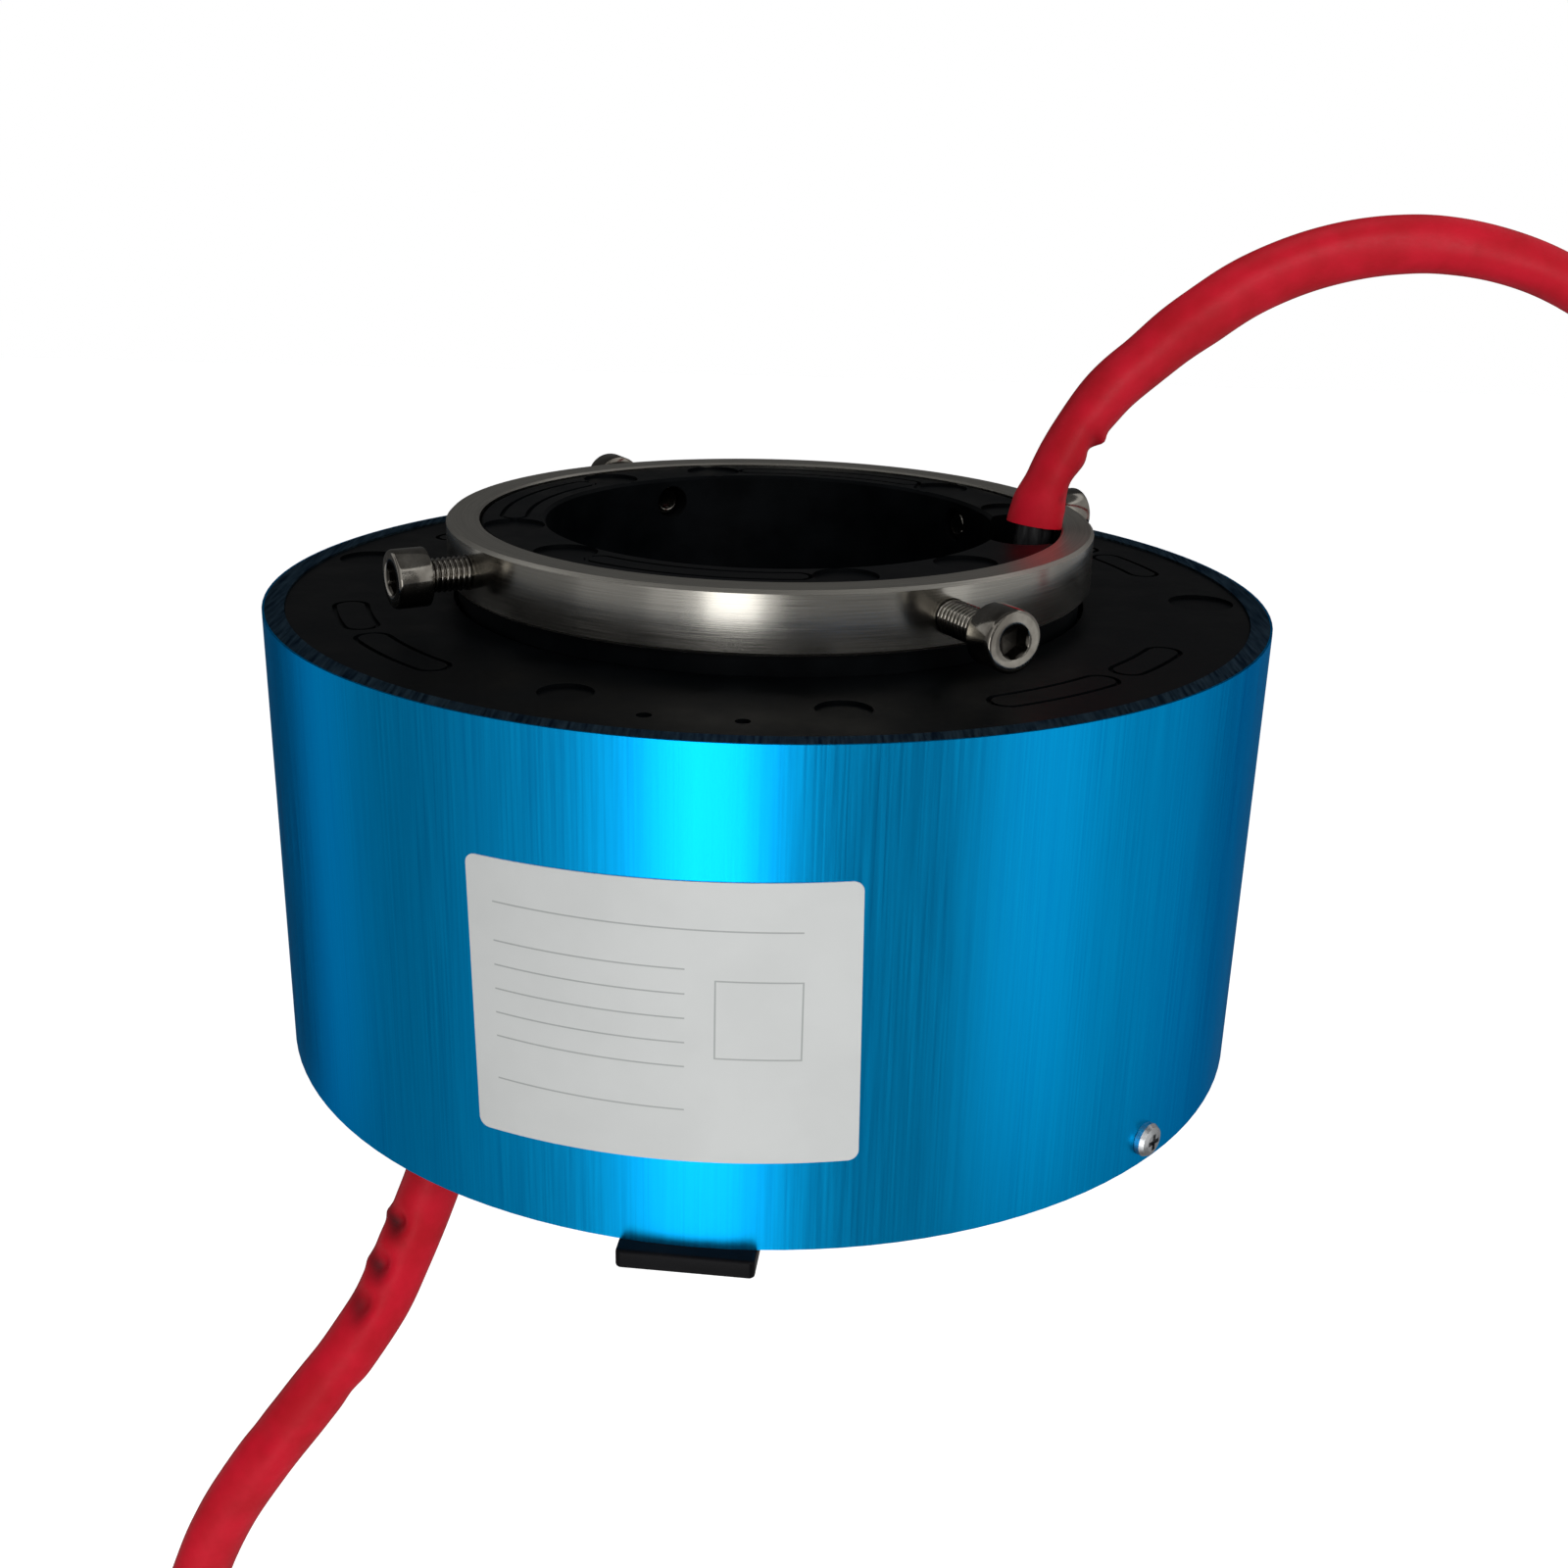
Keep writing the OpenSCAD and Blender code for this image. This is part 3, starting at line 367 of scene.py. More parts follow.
bronze = plain_metal("Phosphor bronze", "#A8743E", "#C98F4E", 0.28)
tinned_copper = plain_metal("Tinned copper", "#A9A39A", "#CFCAC2", 0.3, 0.15)
blue_shell = anodised_tube()
red_sleeve = heat_shrink()
label_grey = label_film()
red_wire = insulation("PVC insulation, red", "#A31424", "#B81C2E")
# The neck's black is painted shade for the dark gap under the rotor's sleeve.
neck_shade_black = insulation("PVC insulation, black", "#0A0A0C", "#131315")
print("materials made:", len(bpy.data.materials))

# %% [markdown]
# ## The leads
#
# Each lead is a bundle of six wires in red heat-shrink sleeve. The sleeve keeps an oval section and
# creases where it bends. A plain bevelled curve would be too perfect, so the tube is swept:
# rings of points along one smooth route, with a radius that changes along and round it.

# %% Routes, as in the part's source
ROTOR_START = (40.297, -4.948, 73.5)
ROTOR_BENDS = [(0, 0, 0), (0, 0, 5.2), (0.9, 0.3, 11.7), (4.2, 1.6, 19.6), (9.3, 3.3, 27.1),
    (15.7, 4.9, 32.9), (23.2, 5.9, 39), (31.7, 6.9, 44.5), (41.7, 7.9, 48.5), (52.7, 8.9, 50.5),
    (64.7, 9.9, 50), (77.7, 10.9, 46.5), (90.7, 11.9, 39.5), (101.7, 12.9, 29.5),
    (110.7, 13.9, 16.5), (117.7, 14.9, 0.5), (121.7, 15.9, -17.5), (123.7, 16.9, -36.5),
    (124.7, 16.9, -55.5), (124.7, 16.9, -64.5)]
STATOR_START = (-45.486, -49.465, 5)
STATOR_BENDS = [(0, 0, 0), (0, 0, -5), (-1, -0.8, -11), (-3.1, -1.8, -17), (-6.1, -3.5, -24.5),
    (-9.5, -5.7, -32), (-14.1, -8, -39), (-20, -10.5, -46.5), (-26.5, -12.5, -55),
    (-32.5, -14, -64.5), (-37.5, -15.5, -76), (-41.5, -16.5, -89), (-44.5, -17.5, -104),
    (-46.5, -18, -121), (-47.5, -18.5, -140), (-48, -18.5, -160), (-48.5, -18.5, -181),
    (-48.5, -18.5, -202), (-48.5, -18.5, -222)]


def smooth_route(start, bends, step):
    """One smooth line through a route's points (Catmull-Rom), with a point about every step."""
    p = [MM * (Vector(start) + Vector(bend)) for bend in bends]
    ends = [2 * p[0] - p[1]] + p + [2 * p[-1] - p[-2]]
    line = []
    for a, b, c, d in zip(ends, ends[1:], ends[2:], ends[3:]):
        count = max(1, round((c - b).length / step))
        for i in range(count):
            t = i / count
            line.append(0.5 * (2 * b + (c - a) * t + (2 * a - 5 * b + 4 * c - d) * t * t
                + (3 * b - a - 3 * c + d) * t ** 3))
    return line + [p[-1]]


def route_length(line):
    """The length of a line of points."""
    return sum((b - a).length for a, b in zip(line, line[1:]))


def part_route(line, distance):
    """The two parts of a route, before and after that distance. They share a point."""
    cut = next(k for k in range(len(line)) if route_length(line[:k + 1]) >= distance)
    return line[:cut + 1], line[cut:]


# %% [markdown]
# A mesh builder joins rings of points with quads and closes both ends. The sleeve, the screws and
# the wires are all stacks of rings, so one function serves them all.

# %% Build a mesh from a stack of rings
def smooth(mesh, sharp_angle):
    """Shades a mesh smooth, but for edges sharper than an angle in degrees."""
    mesh.shade_smooth()
    mesh.set_sharp_from_angle(angle=math.radians(sharp_angle))


def stacked_mesh(name, vertices, faces, materials, sharp_angle):
    """A smooth mesh with outward faces and its materials."""
    mesh = bpy.data.meshes.new(name)
    mesh.from_pydata(vertices, [], faces)
    for material in materials:
        mesh.materials.append(material)
    smooth(mesh, sharp_angle)
    return mesh


def ring_faces(ring_count, sides, start=0):
    """Quads between rings that follow one another, and a cap on each end."""
    faces = []
    for k in range(ring_count - 1):
        for j in range(sides):
            a, b = start + k * sides + j, start + k * sides + (j + 1) % sides
            faces.append((a, b, b + sides, a + sides))
    faces.append(tuple(start + j for j in reversed(range(sides))))
    faces.append(tuple(start + (ring_count - 1) * sides + j for j in range(sides)))
    return faces


# %% Sweep a sleeve along a route
SLEEVE_SHARP = 60


def frame_at(points, k):
    """At one point of a line: the way along it, the way across it nearest to +Y, and the third."""
    along = (points[min(k + 1, len(points) - 1)] - points[max(k - 1, 0)]).normalized()
    away = (Vector((0, 1, 0)) - along * along.y).normalized()
    return along, away, along.cross(away)


def spoke(away, side, j, sides):
    """The way from a ring's middle to its point number j."""
    turn = 2 * math.pi * j / sides
    return away * math.cos(turn) + side * math.sin(turn)


def sleeve(name, line, radius_at, material, start=0.0, shade_creases=(), sides=48):
    """A tube whose radius in metres is radius_at(distance in mm, angle in degrees). The distance
    begins at start, and the angle is counted from the far side, where +Y is. The open end shows
    the sleeve's wall. An attribute marks each crease, where shade is painted on the sleeve."""
    rings, distance, shade_marks = [], start, []
    for k, point in enumerate(line):
        along, away, side = frame_at(line, k)
        if k:
            distance += (point - line[k - 1]).length
        rings.append([point + radius_at(distance / MM, 360 * j / sides)
            * spoke(away, side, j, sides) for j in range(sides)])
        shade_marks += [min(1.0, sum(crease(distance / MM, 360 * j / sides, *f) for f in shade_creases))
            for j in range(sides)]
    wall, recess = 0.8 * MM, 1.5 * MM
    last = rings[-1]
    end = line[-1]
    inner = [end + (q - end) * (1 - wall / (q - end).length) for q in last]
    rings.append(inner)
    rings.append([q - along * recess for q in inner])
    vertices = [q for ring in rings for q in ring]
    faces = ring_faces(len(rings), sides)
    piece = into_scene(name, stacked_mesh(name, vertices, faces, [material], SLEEVE_SHARP))
    # This attribute carries the painted shade of the creases.
    crease_shade = piece.data.attributes.new("crease_shade", "FLOAT", "POINT")
    crease_shade.data.foreach_set("value", shade_marks + [0.0] * (len(vertices) - len(shade_marks)))
    return piece


def crease(distance, angle, at, side, depth, length, width, slant=0.0):
    """How deep one crease is at a point: a short dent on one side, which may run at a slant. A
    negative depth is a fold that stands out."""
    off = (angle - side + 180) % 360 - 180
    along = (distance - at + slant * off) / length
    return depth * math.exp(-along ** 2 - (off / width) ** 2)


def between(knots, distance):
    """A value that runs smoothly through (distance, value) knots."""
    if distance <= knots[0][0]:
        return knots[0][1]
    for (a, low), (b, high) in zip(knots, knots[1:]):
        if distance <= b:
            share = (distance - a) / (b - a)
            return low + (high - low) * share * share * (3 - 2 * share)
    return knots[-1][1]


def lead_radius(broad, narrow, turn, creases):
    """The radius of a sleeve with an oval section. broad and narrow are its half widths and turn
    is the side that its broad way faces, each as knots along the lead."""

    def radius_at(distance, angle):
        wide, thin = between(broad, distance), between(narrow, distance)
        facing = math.radians(angle - between(turn, distance))
        oval = wide * thin / math.hypot(thin * math.cos(facing), wide * math.sin(facing))
        wires = 0.08 * math.cos(3 * facing + distance / 23)
        lumps = 0.07 * math.sin(distance / 3.1 + 2 * math.sin(distance / 7)) * math.cos(facing + 1)
        dents = sum(crease(distance, angle, *c) for c in creases)
        return (oval + wires + lumps - dents) * MM

    return radius_at


# %% [markdown]
# Where the rotor's lead leaves its slot, the sleeve has not begun yet, and the bare bundle of wires
# shows as a neck. Its black is painted shade for the dark gap under the sleeve's end. It is swept as
# the sleeve is, with the outline of six wires side by side.

# %% The outline of the bare wires
def six_wires(distance, angle):
    """The outline of six wires side by side, which shows below the rotor's sleeve."""
    return (2.5 + 0.35 * abs(math.cos(math.radians(3 * angle)))) * MM


# %% [markdown]
# A real sleeve is never quite round. Its half widths are knots along the lead, and its dents and
# folds are placed one by one: (distance in mm, side in degrees, depth, length, width).

# %% Make both leads
ROTOR_BROAD = [(8.2, 4.3), (11, 4.15), (15.5, 3.5), (23, 3.55), (36, 4.1), (50, 4.5),
    (100, 4.3)]
ROTOR_NARROW = [(8.2, 3.3), (16, 3.6), (60, 3.5)]
ROTOR_CREASES = [(24.6, 268, -0.75, 1.1, 34), (27.5, 272, -0.5, 5, 60), (22.2, 262, 0.5, 1.1, 50),
    (16.2, 266, 0.3, 1.6, 50), (19.6, 274, -0.2, 1.4, 40), (24, 225, 0.35, 1.0, 40),
    (13.5, 235, 0.25, 1.5, 40), (52, 215, -0.2, 26, 24), (130, 245, 0.5, 1.4, 50),
    (134, 255, 0.45, 1.2, 50)]
STATOR_BROAD = [(0, 4.1), (20, 4.3), (80, 4.3)]
STATOR_NARROW = [(0, 3.5), (60, 3.4)]
STATOR_CREASES = [(20.4, 228, 1.5, 1.6, 24), (27.6, 226, 1.45, 1.9, 25), (34.6, 228, 1.3, 2.3, 26),
    (20.2, 268, -0.45, 1.0, 16), (28.2, 268, -0.35, 1.3, 16), (24.2, 236, -0.25, 1.6, 25),
    (31.2, 232, -0.3, 1.6, 25), (47, 85, 0.3, 2, 45), (60, 232, 0.6, 2.2, 34)]
# Where shade is painted on each sleeve: in its creases, and on the rotor's lead also along one side.
# (distance in mm, side in degrees, darkness, length, width, and for the stator a slant)
ROTOR_CREASE_SHADE = [(23.6, 240, 0.3, 0.9, 40), (13.2, 225, 0.35, 0.8, 12), (30, 90, 0.3, 16, 50)]
STATOR_CREASE_SHADE = [(20.9, 244, 0.95, 1.5, 34, 0.03), (28.2, 242, 0.9, 1.6, 34, 0.03),
    (35.2, 240, 0.7, 2.0, 34, 0.03)]
SIDEWAYS = [(0, 90), (60, 90), (110, 40)]
rotor_line = smooth_route(ROTOR_START, ROTOR_BENDS, 0.5 * MM)
stator_line = smooth_route(STATOR_START, STATOR_BENDS, 0.5 * MM)
NECK_LENGTH = 8.2 * MM
neck_line, rotor_line = part_route(rotor_line, NECK_LENGTH)
rotor_neck = sleeve("rotor_lead_neck", neck_line, six_wires, neck_shade_black)
rotor_lead = sleeve("rotor_lead_sleeve", rotor_line,
    lead_radius(ROTOR_BROAD, ROTOR_NARROW, SIDEWAYS, ROTOR_CREASES), red_sleeve, NECK_LENGTH,
    ROTOR_CREASE_SHADE)
stator_lead = sleeve("stator_lead_sleeve", stator_line,
    lead_radius(STATOR_BROAD, STATOR_NARROW, SIDEWAYS, STATOR_CREASES), red_sleeve,
    shade_creases=STATOR_CREASE_SHADE)
print("leads, mm:", [round(route_length(line) / MM) for line in (rotor_line, stator_line)])

# %% [markdown]
# ## Wire ends
#
# Beyond the sleeve the six wires come out bare-ended. Each has coloured insulation, and a short
# stripped end of twisted strands. One strand is a helix, and Geometry Nodes repeat it round the
# wire's middle: a tree suits this, because the count and the twist are its inputs.

# %% Geometry Nodes helpers
def start_tree(name, **inputs):
    """An empty geometry tree with float inputs: (tree, group input, group output)."""
    tree = bpy.data.node_groups.new(name, "GeometryNodeTree")
    for key, value in inputs.items():
        socket = tree.interface.new_socket(key.replace("_", " "), in_out="INPUT",
            socket_type="NodeSocketInt" if isinstance(value, int) else "NodeSocketFloat")
        socket.default_value = value
    tree.interface.new_socket("Geometry", in_out="OUTPUT", socket_type="NodeSocketGeometry")
    return tree, tree.nodes.new("NodeGroupInput"), tree.nodes.new("NodeGroupOutput")


def end_tree(tree, output, geometry, material):
    """The last two nodes of every tree: real geometry, in its material."""
    real = add(tree, "GeometryNodeRealizeInstances", {"Geometry": geometry}).outputs[0]
    dressed = add(tree, "GeometryNodeSetMaterial", {"Geometry": real, "Material": material})
    tree.links.new(dressed.outputs[0], output.inputs[0])


def grown_mesh(tree, **inputs):
    """The plain mesh that a tree makes with these inputs."""
    host = into_scene(tree.name, bpy.data.meshes.new(tree.name))
    modifier = host.modifiers.new("Growth", "NODES")
    modifier.node_group = tree
    identifiers = {item.name: item.identifier for item in tree.interface.items_tree
        if item.in_out == "INPUT"}
    for key, value in inputs.items():
        modifier[identifiers[key.replace("_", " ")]] = value
    evaluated = host.evaluated_get(bpy.context.evaluated_depsgraph_get())
    mesh = bpy.data.meshes.new_from_object(evaluated)
    bpy.data.objects.remove(host)
    return mesh


# %% The tree for a stripped wire end
def strand_tree():
    """Six helical strands round a straight middle one."""
    tree, given, output = start_tree("Twisted strands", Length=6 * MM, Strand_radius=0.16 * MM,
        Lay_radius=0.32 * MM, Turns=0.6, Strands=6)
    helix = add(tree, "GeometryNodeCurveSpiral", {"Resolution": 24,
        "Rotations": given.outputs["Turns"], "Start Radius": given.outputs["Lay radius"],
        "End Radius": given.outputs["Lay radius"], "Height": given.outputs["Length"]}).outputs[0]
    section = add(tree, "GeometryNodeCurvePrimitiveCircle",
        {"Resolution": 8, "Radius": given.outputs["Strand radius"]}).outputs[0]
    strand = add(tree, "GeometryNodeCurveToMesh",
        {"Curve": helix, "Profile Curve": section, "Fill Caps": True}).outputs[0]
    places = add(tree, "GeometryNodePoints", {"Count": given.outputs["Strands"]}).outputs[0]
    index = add(tree, "GeometryNodeInputIndex").outputs[0]
    turn = math_node(tree, "MULTIPLY", index, 2 * math.pi / 6)
    turned = add(tree, "ShaderNodeCombineXYZ", {"Z": turn}).outputs[0]
    ring = add(tree, "GeometryNodeInstanceOnPoints",
        {"Points": places, "Instance": strand, "Rotation": turned}).outputs[0]
    middle = add(tree, "GeometryNodeMeshCylinder", {"Vertices": 8,
        "Radius": given.outputs["Strand radius"], "Depth": given.outputs["Length"]}).outputs[0]
    half = math_node(tree, "MULTIPLY", given.outputs["Length"], 0.5)
    raised = add(tree, "ShaderNodeCombineXYZ", {"Z": half}).outputs[0]
    middle = add(tree, "GeometryNodeTransform", {"Geometry": middle, "Translation": raised}).outputs[0]
    both = add(tree, "GeometryNodeJoinGeometry")
    tree.links.new(middle, both.inputs[0])
    tree.links.new(ring, both.inputs[0])
    end_tree(tree, output, both.outputs[0], tinned_copper)
    return tree


# %% Wire ends in six colours
WIRE_COLOURS = [("black", "#0E0E10", "#18181A"), ("red", "#A31424", "#B81C2E"),
    ("yellow", "#C9A21B", "#D6B02A"), ("green", "#17653A", "#1F7645"), ("blue", "#1B4C92", "#2559A4"),
    ("white", "#C9C9C5", "#D6D6D2")]
WIRE_R = 0.8 * MM
WIRE_SHARP = 50
BARE = 6 * MM
TAIL_LENGTHS = [32, 28, 35, 30, 26, 33]
wire_materials = [insulation("PVC insulation, " + n, a, b) for n, a, b in WIRE_COLOURS]
strands = strand_tree()


def combine(name, parts):
    """Joins meshes, each with the matrix that places it, into one object. Materials are kept."""
    materials, result = [], bmesh.new()
    for mesh, matrix in parts:
        mesh.transform(matrix)
        for material in mesh.materials:
            if material not in materials:
                materials.append(material)
        slots = [materials.index(material) for material in mesh.materials]
        first = len(result.faces)
        result.from_mesh(mesh)
        result.faces.ensure_lookup_table()
        for face in result.faces[first:]:
            face.material_index = slots[face.material_index]
    joined = bpy.data.meshes.new(name)
    result.to_mesh(joined)
    result.free()
    for material in materials:
        joined.materials.append(material)
    return into_scene(name, joined)


def wire_mesh(points, radius, material, sides=16):
    """A round wire along points, closed at both ends."""
    vertices = []
    for k, point in enumerate(points):
        _, away, side = frame_at(points, k)
        vertices += [point + radius * spoke(away, side, j, sides) for j in range(sides)]
    return stacked_mesh("wire", vertices, ring_faces(len(points), sides), [material], WIRE_SHARP)


def wire_ends(name, line):
    """Six wires that leave the sleeve side by side and part a little."""
    end = line[-1]
    along, away, side = frame_at(line, len(line) - 1)
    parts = []
    for k, length in enumerate(TAIL_LENGTHS):
        start = away * (1.15 * (k - 2.5)) + side * (-1.1 if k % 2 == 0 else 1.1)
        covered = length - BARE / MM
        points = []
        for i in range(13):
            t = i / 12
            points.append(end + MM * (start * (1 + 0.9 * t * t) + along * (-1.2 + (covered + 1.2) * t)))
        parts.append((wire_mesh(points, WIRE_R, wire_materials[k]), Matrix.Identity(4)))
        out = (points[-1] - points[-2]).normalized()
        place = Matrix.Translation(points[-1]) @ out.to_track_quat("Z", "Y").to_matrix().to_4x4()
        parts.append((grown_mesh(strands, Length=BARE), place))
    return combine(name, parts)


rotor_tails = wire_ends("rotor_wire_ends", rotor_line)
stator_tails = wire_ends("stator_wire_ends", stator_line)

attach(rotor_neck, "rotor")
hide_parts("rotor_cable")
for lead, others, body, line, exit_z in (
        (rotor_lead, [rotor_tails, rotor_neck], "rotor", rotor_line, face_z),
        (stator_lead, [stator_tails], "stator", stator_line, 0.0)):
    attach(lead, body)
    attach(others[0], body)
    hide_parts(body + "_cable")
    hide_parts(body + "_lead_tails")

# %% [markdown]
# ## Clamp screws
#
# Four M5 socket screws press the collar on the shaft, and a stretch of their thread shows between
# the collar and each head. The thread is what repeats, so Geometry Nodes make it: a helix with a
# four-sided section, whose edges meet from turn to turn as a V thread does. Head, socket and core
# are rings of points.

# %% The tree for a thread
THREAD_PITCH = 0.8 * MM


def thread_tree():
    """A V thread along +Z. A square section, set on its corner, is half a pitch from its middle
    to each corner, so that neighbouring turns meet at the root."""
    tree, given, output = start_tree("Screw thread", Length=20 * MM, Pitch=THREAD_PITCH,
        Crest_radius=2.5 * MM)
    half = math_node(tree, "MULTIPLY", given.outputs["Pitch"], 0.5)
    middle = math_node(tree, "SUBTRACT", given.outputs["Crest radius"], half)
    turns = math_node(tree, "DIVIDE", given.outputs["Length"], given.outputs["Pitch"])
    helix = add(tree, "GeometryNodeCurveSpiral", {"Resolution": 32, "Rotations": turns,
        "Start Radius": middle, "End Radius": middle, "Height": given.outputs["Length"]}).outputs[0]
    upright = add(tree, "GeometryNodeSetCurveNormal", {"Curve": helix}, mode="Z_UP").outputs[0]
    section = add(tree, "GeometryNodeCurvePrimitiveCircle", {"Resolution": 4, "Radius": half}).outputs[0]
    ridge = add(tree, "GeometryNodeCurveToMesh",
        {"Curve": upright, "Profile Curve": section, "Fill Caps": True}).outputs[0]
    end_tree(tree, output, ridge, screw_steel)
    return tree


# %% [markdown]
# The head, the socket and the core are one closed stack of rings, from the tip to the socket's
# floor. The socket is drawn with a hexagon's radius, and its faces get a darker steel, as painted shade.

# %% Head, socket and core of a screw
SCREW_SHARP = 32
SOCKET_RINGS = 4


def hexagon(radius, angle):
    """The distance from the middle to a hexagon's outline, where radius is half its flats."""
    return radius / math.cos(math.radians((math.degrees(angle) + 30) % 60 - 30))


def screw_body(sizes, sides=72):
    """A cap screw along +Z with its tip at the origin, as rings from the tip to the socket's
    floor. A size is (radius, height), or (half flats, height, True) where the outline is hexagonal."""
    vertices = []
    for radius, height, *six in sizes:
        for j in range(sides):
            angle = 2 * math.pi * j / sides
            r = hexagon(radius, angle) if six else radius
            vertices.append((r * math.cos(angle) * MM, r * math.sin(angle) * MM, height * MM))
    mesh = stacked_mesh("screw", vertices, ring_faces(len(sizes), sides),
        [screw_steel, socket_shade_steel], SCREW_SHARP)
    # The socket's walls and floor are painted darker steel, as shade inside the socket.
    first_inside = sides * (len(sizes) - SOCKET_RINGS - 1)
    for face in mesh.polygons:
        face.material_index = int(first_inside <= face.index < sides * (len(sizes) - 1)
            or face.index == len(mesh.polygons) - 1)
    return mesh


CORE_R = 2.12
CAP_SCREW = [(1.5, 0.05), (1.7, 0.0), (CORE_R, 0.45), (CORE_R, 19.7), (2.5, 20.0), (4.05, 20.0),
    (4.2, 20.08), (4.25, 20.25), (4.25, 24.4), (4.2, 24.65), (4.08, 24.85), (3.9, 24.97),
    (3.7, 25.0), (2.5, 25.0), (2.3, 24.9), (2.0, 24.6, True), (2.0, 22.6, True), (1.0, 22.4, True),
    (0.3, 22.2, True)]
THREAD_START = 0.5 * MM
THREAD_LENGTH = 18.8 * MM
thread = thread_tree()
print("rings in a screw:", len(CAP_SCREW))

# %% Place the four screws
for number in range(1, 5):
    node = f"clamp_screw_{number}"
    out = axes[node].normalized()
    reach = [vertex.co.dot(out) for vertex in nodes[node].data.vertices]
    low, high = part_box(node)
    tip = out * min(reach) + Vector((0, 0, (low.z + high.z) / 2))
    place = Matrix.Translation(tip) @ out.to_track_quat("Z", "Y").to_matrix().to_4x4()
    ridge = grown_mesh(thread, Length=THREAD_LENGTH)
    screw = combine(f"clamp_screw_{number}_threaded", [(screw_body(CAP_SCREW), place),
        (ridge, place @ Matrix.Translation((0, 0, THREAD_START)))])
    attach(screw, node)
    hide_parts(node)
    print(node, "tip at", round(min(reach) / MM, 1), "mm, faces:", len(screw.data.polygons))

# %% [markdown]
# ## The tab's eased edges
#
# The tab is a cut steel bar, and its powder coat rounds every edge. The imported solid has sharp
# edges, so a merged copy of it is bevelled where it stands out of the housing.

# %% Ease the tab's edges
EASED = 0.45 * MM
TAB_SHARP = 40


def eased_copy(node, name, radius, keep, material):
    """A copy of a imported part. Its sharp edges are rounded where keep(edge) says so."""
    work = bmesh.new()
    work.from_mesh(nodes[node].data)
    bmesh.ops.remove_doubles(work, verts=work.verts, dist=0.005 * MM)
    bmesh.ops.dissolve_limit(work, angle_limit=math.radians(1), verts=work.verts, edges=work.edges)
    sharp = [edge for edge in work.edges if edge.is_manifold
        and edge.calc_face_angle() > math.radians(50) and keep(edge)]
    bmesh.ops.bevel(work, geom=sharp, offset=radius, segments=3, profile=0.5, affect="EDGES",
        clamp_overlap=True)
    mesh = bpy.data.meshes.new(name)
    work.to_mesh(mesh)
    work.free()
    mesh.materials.append(material)
    smooth(mesh, TAB_SHARP)
    print(name, "edges eased:", len(sharp), "faces:", len(mesh.polygons))
    return into_scene(name, mesh)


def stands_out(edge):
    """Whether an edge reaches beyond the shell."""
    return max(vertex.co.xy.length for vertex in edge.verts) > shell_r + 0.5 * MM


tab = eased_copy("anti_rotation_tab", "anti_rotation_tab_eased", EASED, stands_out, tab_coat)
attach(tab, "stator")
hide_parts("anti_rotation_tab")

# %% [markdown]
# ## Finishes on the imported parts
#
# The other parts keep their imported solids, because their shape is right. Each takes its material
# by its name.

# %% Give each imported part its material
FINISHES = {"rotor_sleeve": black_plastic, "rotor_base": black_plastic, "top_cover": black_plastic,
    "bottom_cover": black_plastic, "clamp_collar": collar_steel, "inner_race": bearing_steel,
    "outer_race": bearing_steel, "balls": bearing_steel, "ball_cage": brass, "insulator": grey_plastic,
    "end_barrier": grey_plastic, "brush_holder": grey_plastic, "collector_ring": brass,
    "brush_set": graphite, "brush_springs": bronze, "tie_screws": zinc_steel,
    "terminal_screws": zinc_steel, "holder_screws": zinc_steel, "cover_screws": zinc_steel,
    "shell_screws": zinc_steel, "tab_screws": zinc_steel, "standoffs": turned_aluminium,
    "housing_shell": blue_shell, "anti_rotation_tab": tab_coat, "rating_label": label_grey,
    "rotor_leads": red_wire, "stator_leads": red_wire, "rotor_cable": red_sleeve,
    "stator_cable": red_sleeve, "rotor_lead_tails": red_wire, "stator_lead_tails": red_wire,
    "clamp_screw": screw_steel}
for name, part in nodes.items():
    key = next(k for k in sorted(FINISHES, key=len, reverse=True) if name.startswith(k))
    part.data.materials.clear()
    part.data.materials.append(FINISHES[key])
print("packed parts with a material:", len(nodes))

# %% [markdown]
# ## Floor, backdrop and light
#
# The part is clear of a white floor, 20 mm above it. Metal shows what stands round it, so big soft
# lights give the shell its broad bright bands. The world is white to the camera and in reflections,
# and dimmer as a light, so that colours render about as they are written.

# %% Floor
GLOW = 0.62
WORLD_LIGHT = 0.38
FLOOR_Z = cad_box[0].z - 0.02


def seen_directly(tree):
    """1 for a ray from the camera, a reflection or a clear part, and 0 for plain light."""
    rays = add(tree, "ShaderNodeLightPath").outputs
    through = math_node(tree, "MAXIMUM", rays["Is Glossy Ray"], rays["Is Transmission Ray"])
    return math_node(tree, "MAXIMUM", rays["Is Camera Ray"], through)


floor_mesh = bpy.data.meshes.new("floor")
half = 3.0
floor_mesh.from_pydata([(-half, -half, FLOOR_Z), (half, -half, FLOOR_Z), (half, half, FLOOR_Z),
    (-half, half, FLOOR_Z)], [], [(0, 1, 2, 3)])
floor = into_scene("floor", floor_mesh)
floor_paint, floor_tree, floor_shader = start_material("White floor paint", 0.0, 0.9)
floor_shader.inputs["Base Color"].default_value = linear("#F4F4F4")
floor_shader.inputs["Emission Color"].default_value = (1, 1, 1, 1)
floor_tree.links.new(math_node(floor_tree, "MULTIPLY", seen_directly(floor_tree), GLOW),
    floor_shader.inputs["Emission Strength"])
floor_mesh.materials.append(floor_paint)

# %% World
world = bpy.data.worlds.new("Studio")
bpy.context.scene.world = world
world.use_nodes = True
sky = world.node_tree
background = sky.nodes["Background"]
background.inputs["Color"].default_value = (1, 1, 1, 1)
sky_glow = math_node(sky, "MULTIPLY", seen_directly(sky), GLOW)
sky.links.new(math_node(sky, "ADD", sky_glow, WORLD_LIGHT), background.inputs["Strength"])
print("floor height, mm:", round(FLOOR_Z / MM))


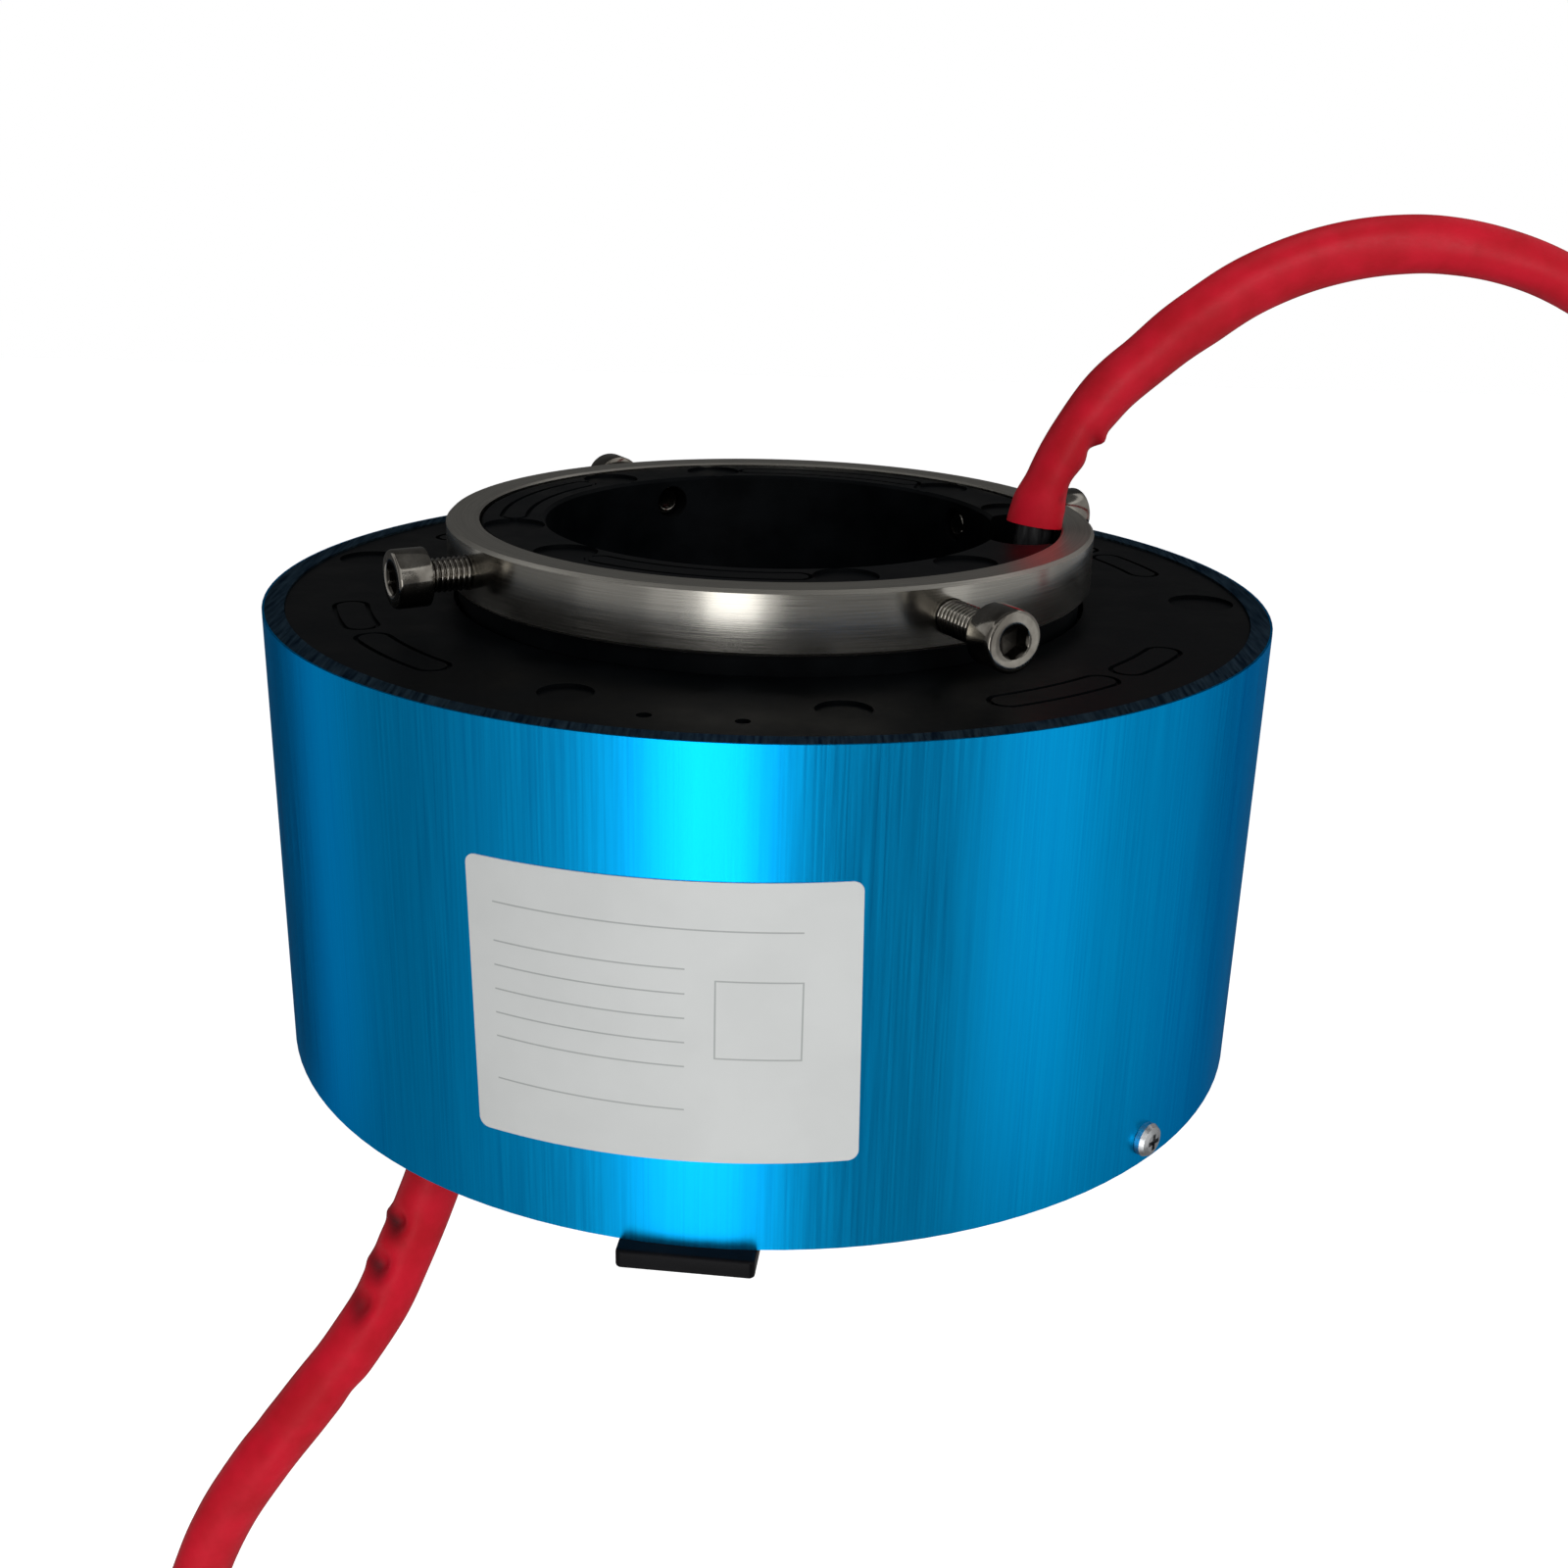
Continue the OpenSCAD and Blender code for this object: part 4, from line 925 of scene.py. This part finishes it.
# %% Lamps
MIDDLE = Vector((0, 0, rim_z / 2))


def round_place(azimuth, distance, height):
    """A place round the axis, from an azimuth in degrees."""
    turn = math.radians(azimuth)
    return Vector((distance * math.cos(turn), distance * math.sin(turn), height))


def soft_light(name, place, size, watts):
    """A rectangular lamp that faces the middle of the housing."""
    lamp = bpy.data.lights.new(name, "AREA")
    lamp.shape = "RECTANGLE"
    lamp.size, lamp.size_y = size
    lamp.energy = watts
    holder = into_scene(name, lamp)
    holder.location = place
    holder.rotation_euler = (MIDDLE - place).to_track_quat("-Z", "Y").to_euler()


soft_light("key, front right", round_place(-64, 0.95, 0.5), (0.4, 0.4), 4.6)
soft_light("overhead", Vector((0.1, 0.05, 1.0)), (0.6, 0.6), 2.0)
soft_light("low softbox, front left", round_place(-101, 0.6, -0.06), (0.18, 0.4), 0.62)

# %% [markdown]
# Polished metal looks flat when all round it is white. In a studio, dark cards stand beside such an
# object, so that its reflections gain dark bands. These cards are seen in reflections alone: they
# cast no shadow and take no light from the object. Each glows at its own grey, so the bands they
# give are painted reflections.

# %% Dark cards
CARD_R = 0.5
LID_R = 0.75
TALL, LOW = 0.9, 0.5


def dark_sheet(name, vertices, faces, shade):
    """A sheet that glows one grey and is seen in reflections alone, as a painted reflection."""
    mesh = bpy.data.meshes.new(name)
    mesh.from_pydata(vertices, [], faces)
    reflection_glow, tree, shader = start_material(name, 0.0, 1.0, Specular_IOR_Level=0.0)
    shader.inputs["Base Color"].default_value = (0, 0, 0, 1)
    shader.inputs["Emission Color"].default_value = (1, 1, 1, 1)
    shader.inputs["Emission Strength"].default_value = shade
    mesh.materials.append(reflection_glow)
    sheet = into_scene(name, mesh)
    sheet.visible_camera = False
    sheet.visible_diffuse = False
    sheet.visible_shadow = False
    sheet.visible_transmission = False


def curved_card(name, start, end, high, shade):
    """A card bent round the axis, from one azimuth to another."""
    steps = max(2, round((end - start) / 6))
    vertices = []
    for k in range(steps + 1):
        azimuth = start + (end - start) * k / steps
        vertices += [round_place(azimuth, CARD_R, FLOOR_Z), round_place(azimuth, CARD_R, high)]
    faces = [(2 * k, 2 * k + 1, 2 * k + 3, 2 * k + 2) for k in range(steps)]
    dark_sheet(name, vertices, faces, shade)


CARDS = [("right front", -86, -46, LOW, 0.25), ("right", -46, -20, LOW, 0.85),
    ("far right", -20, 22, LOW, 0.5), ("right edge", 22, 50, LOW, 0.35), ("behind", 50, 154, TALL, 0.07),
    ("left edge", 154, 174, LOW, 0.6), ("left", 174, 206, LOW, 0.25),
    ("left front", 206, 232, LOW, 0.42), ("beside the softbox", 232, 244, LOW, 0.75)]
for name, start, end, high, shade in CARDS:
    curved_card("card, " + name, start, end, high, shade)
lid = [round_place(azimuth, LID_R, TALL) for azimuth in range(0, 360, 15)]
dark_sheet("card, overhead", lid, [tuple(range(len(lid)))], 0.15)
mat_z = FLOOR_Z + 2 * MM
mat = [Vector((0, 0, mat_z))] + [round_place(-86 + 11 * k, CARD_R, mat_z) for k in range(31)]
dark_sheet("card, below", mat, [(0, k, k + 1) for k in range(1, 31)], 0.3)
print("dark cards:", len(CARDS) + 2)
bpy.context.scene.view_settings.view_transform = "Standard"
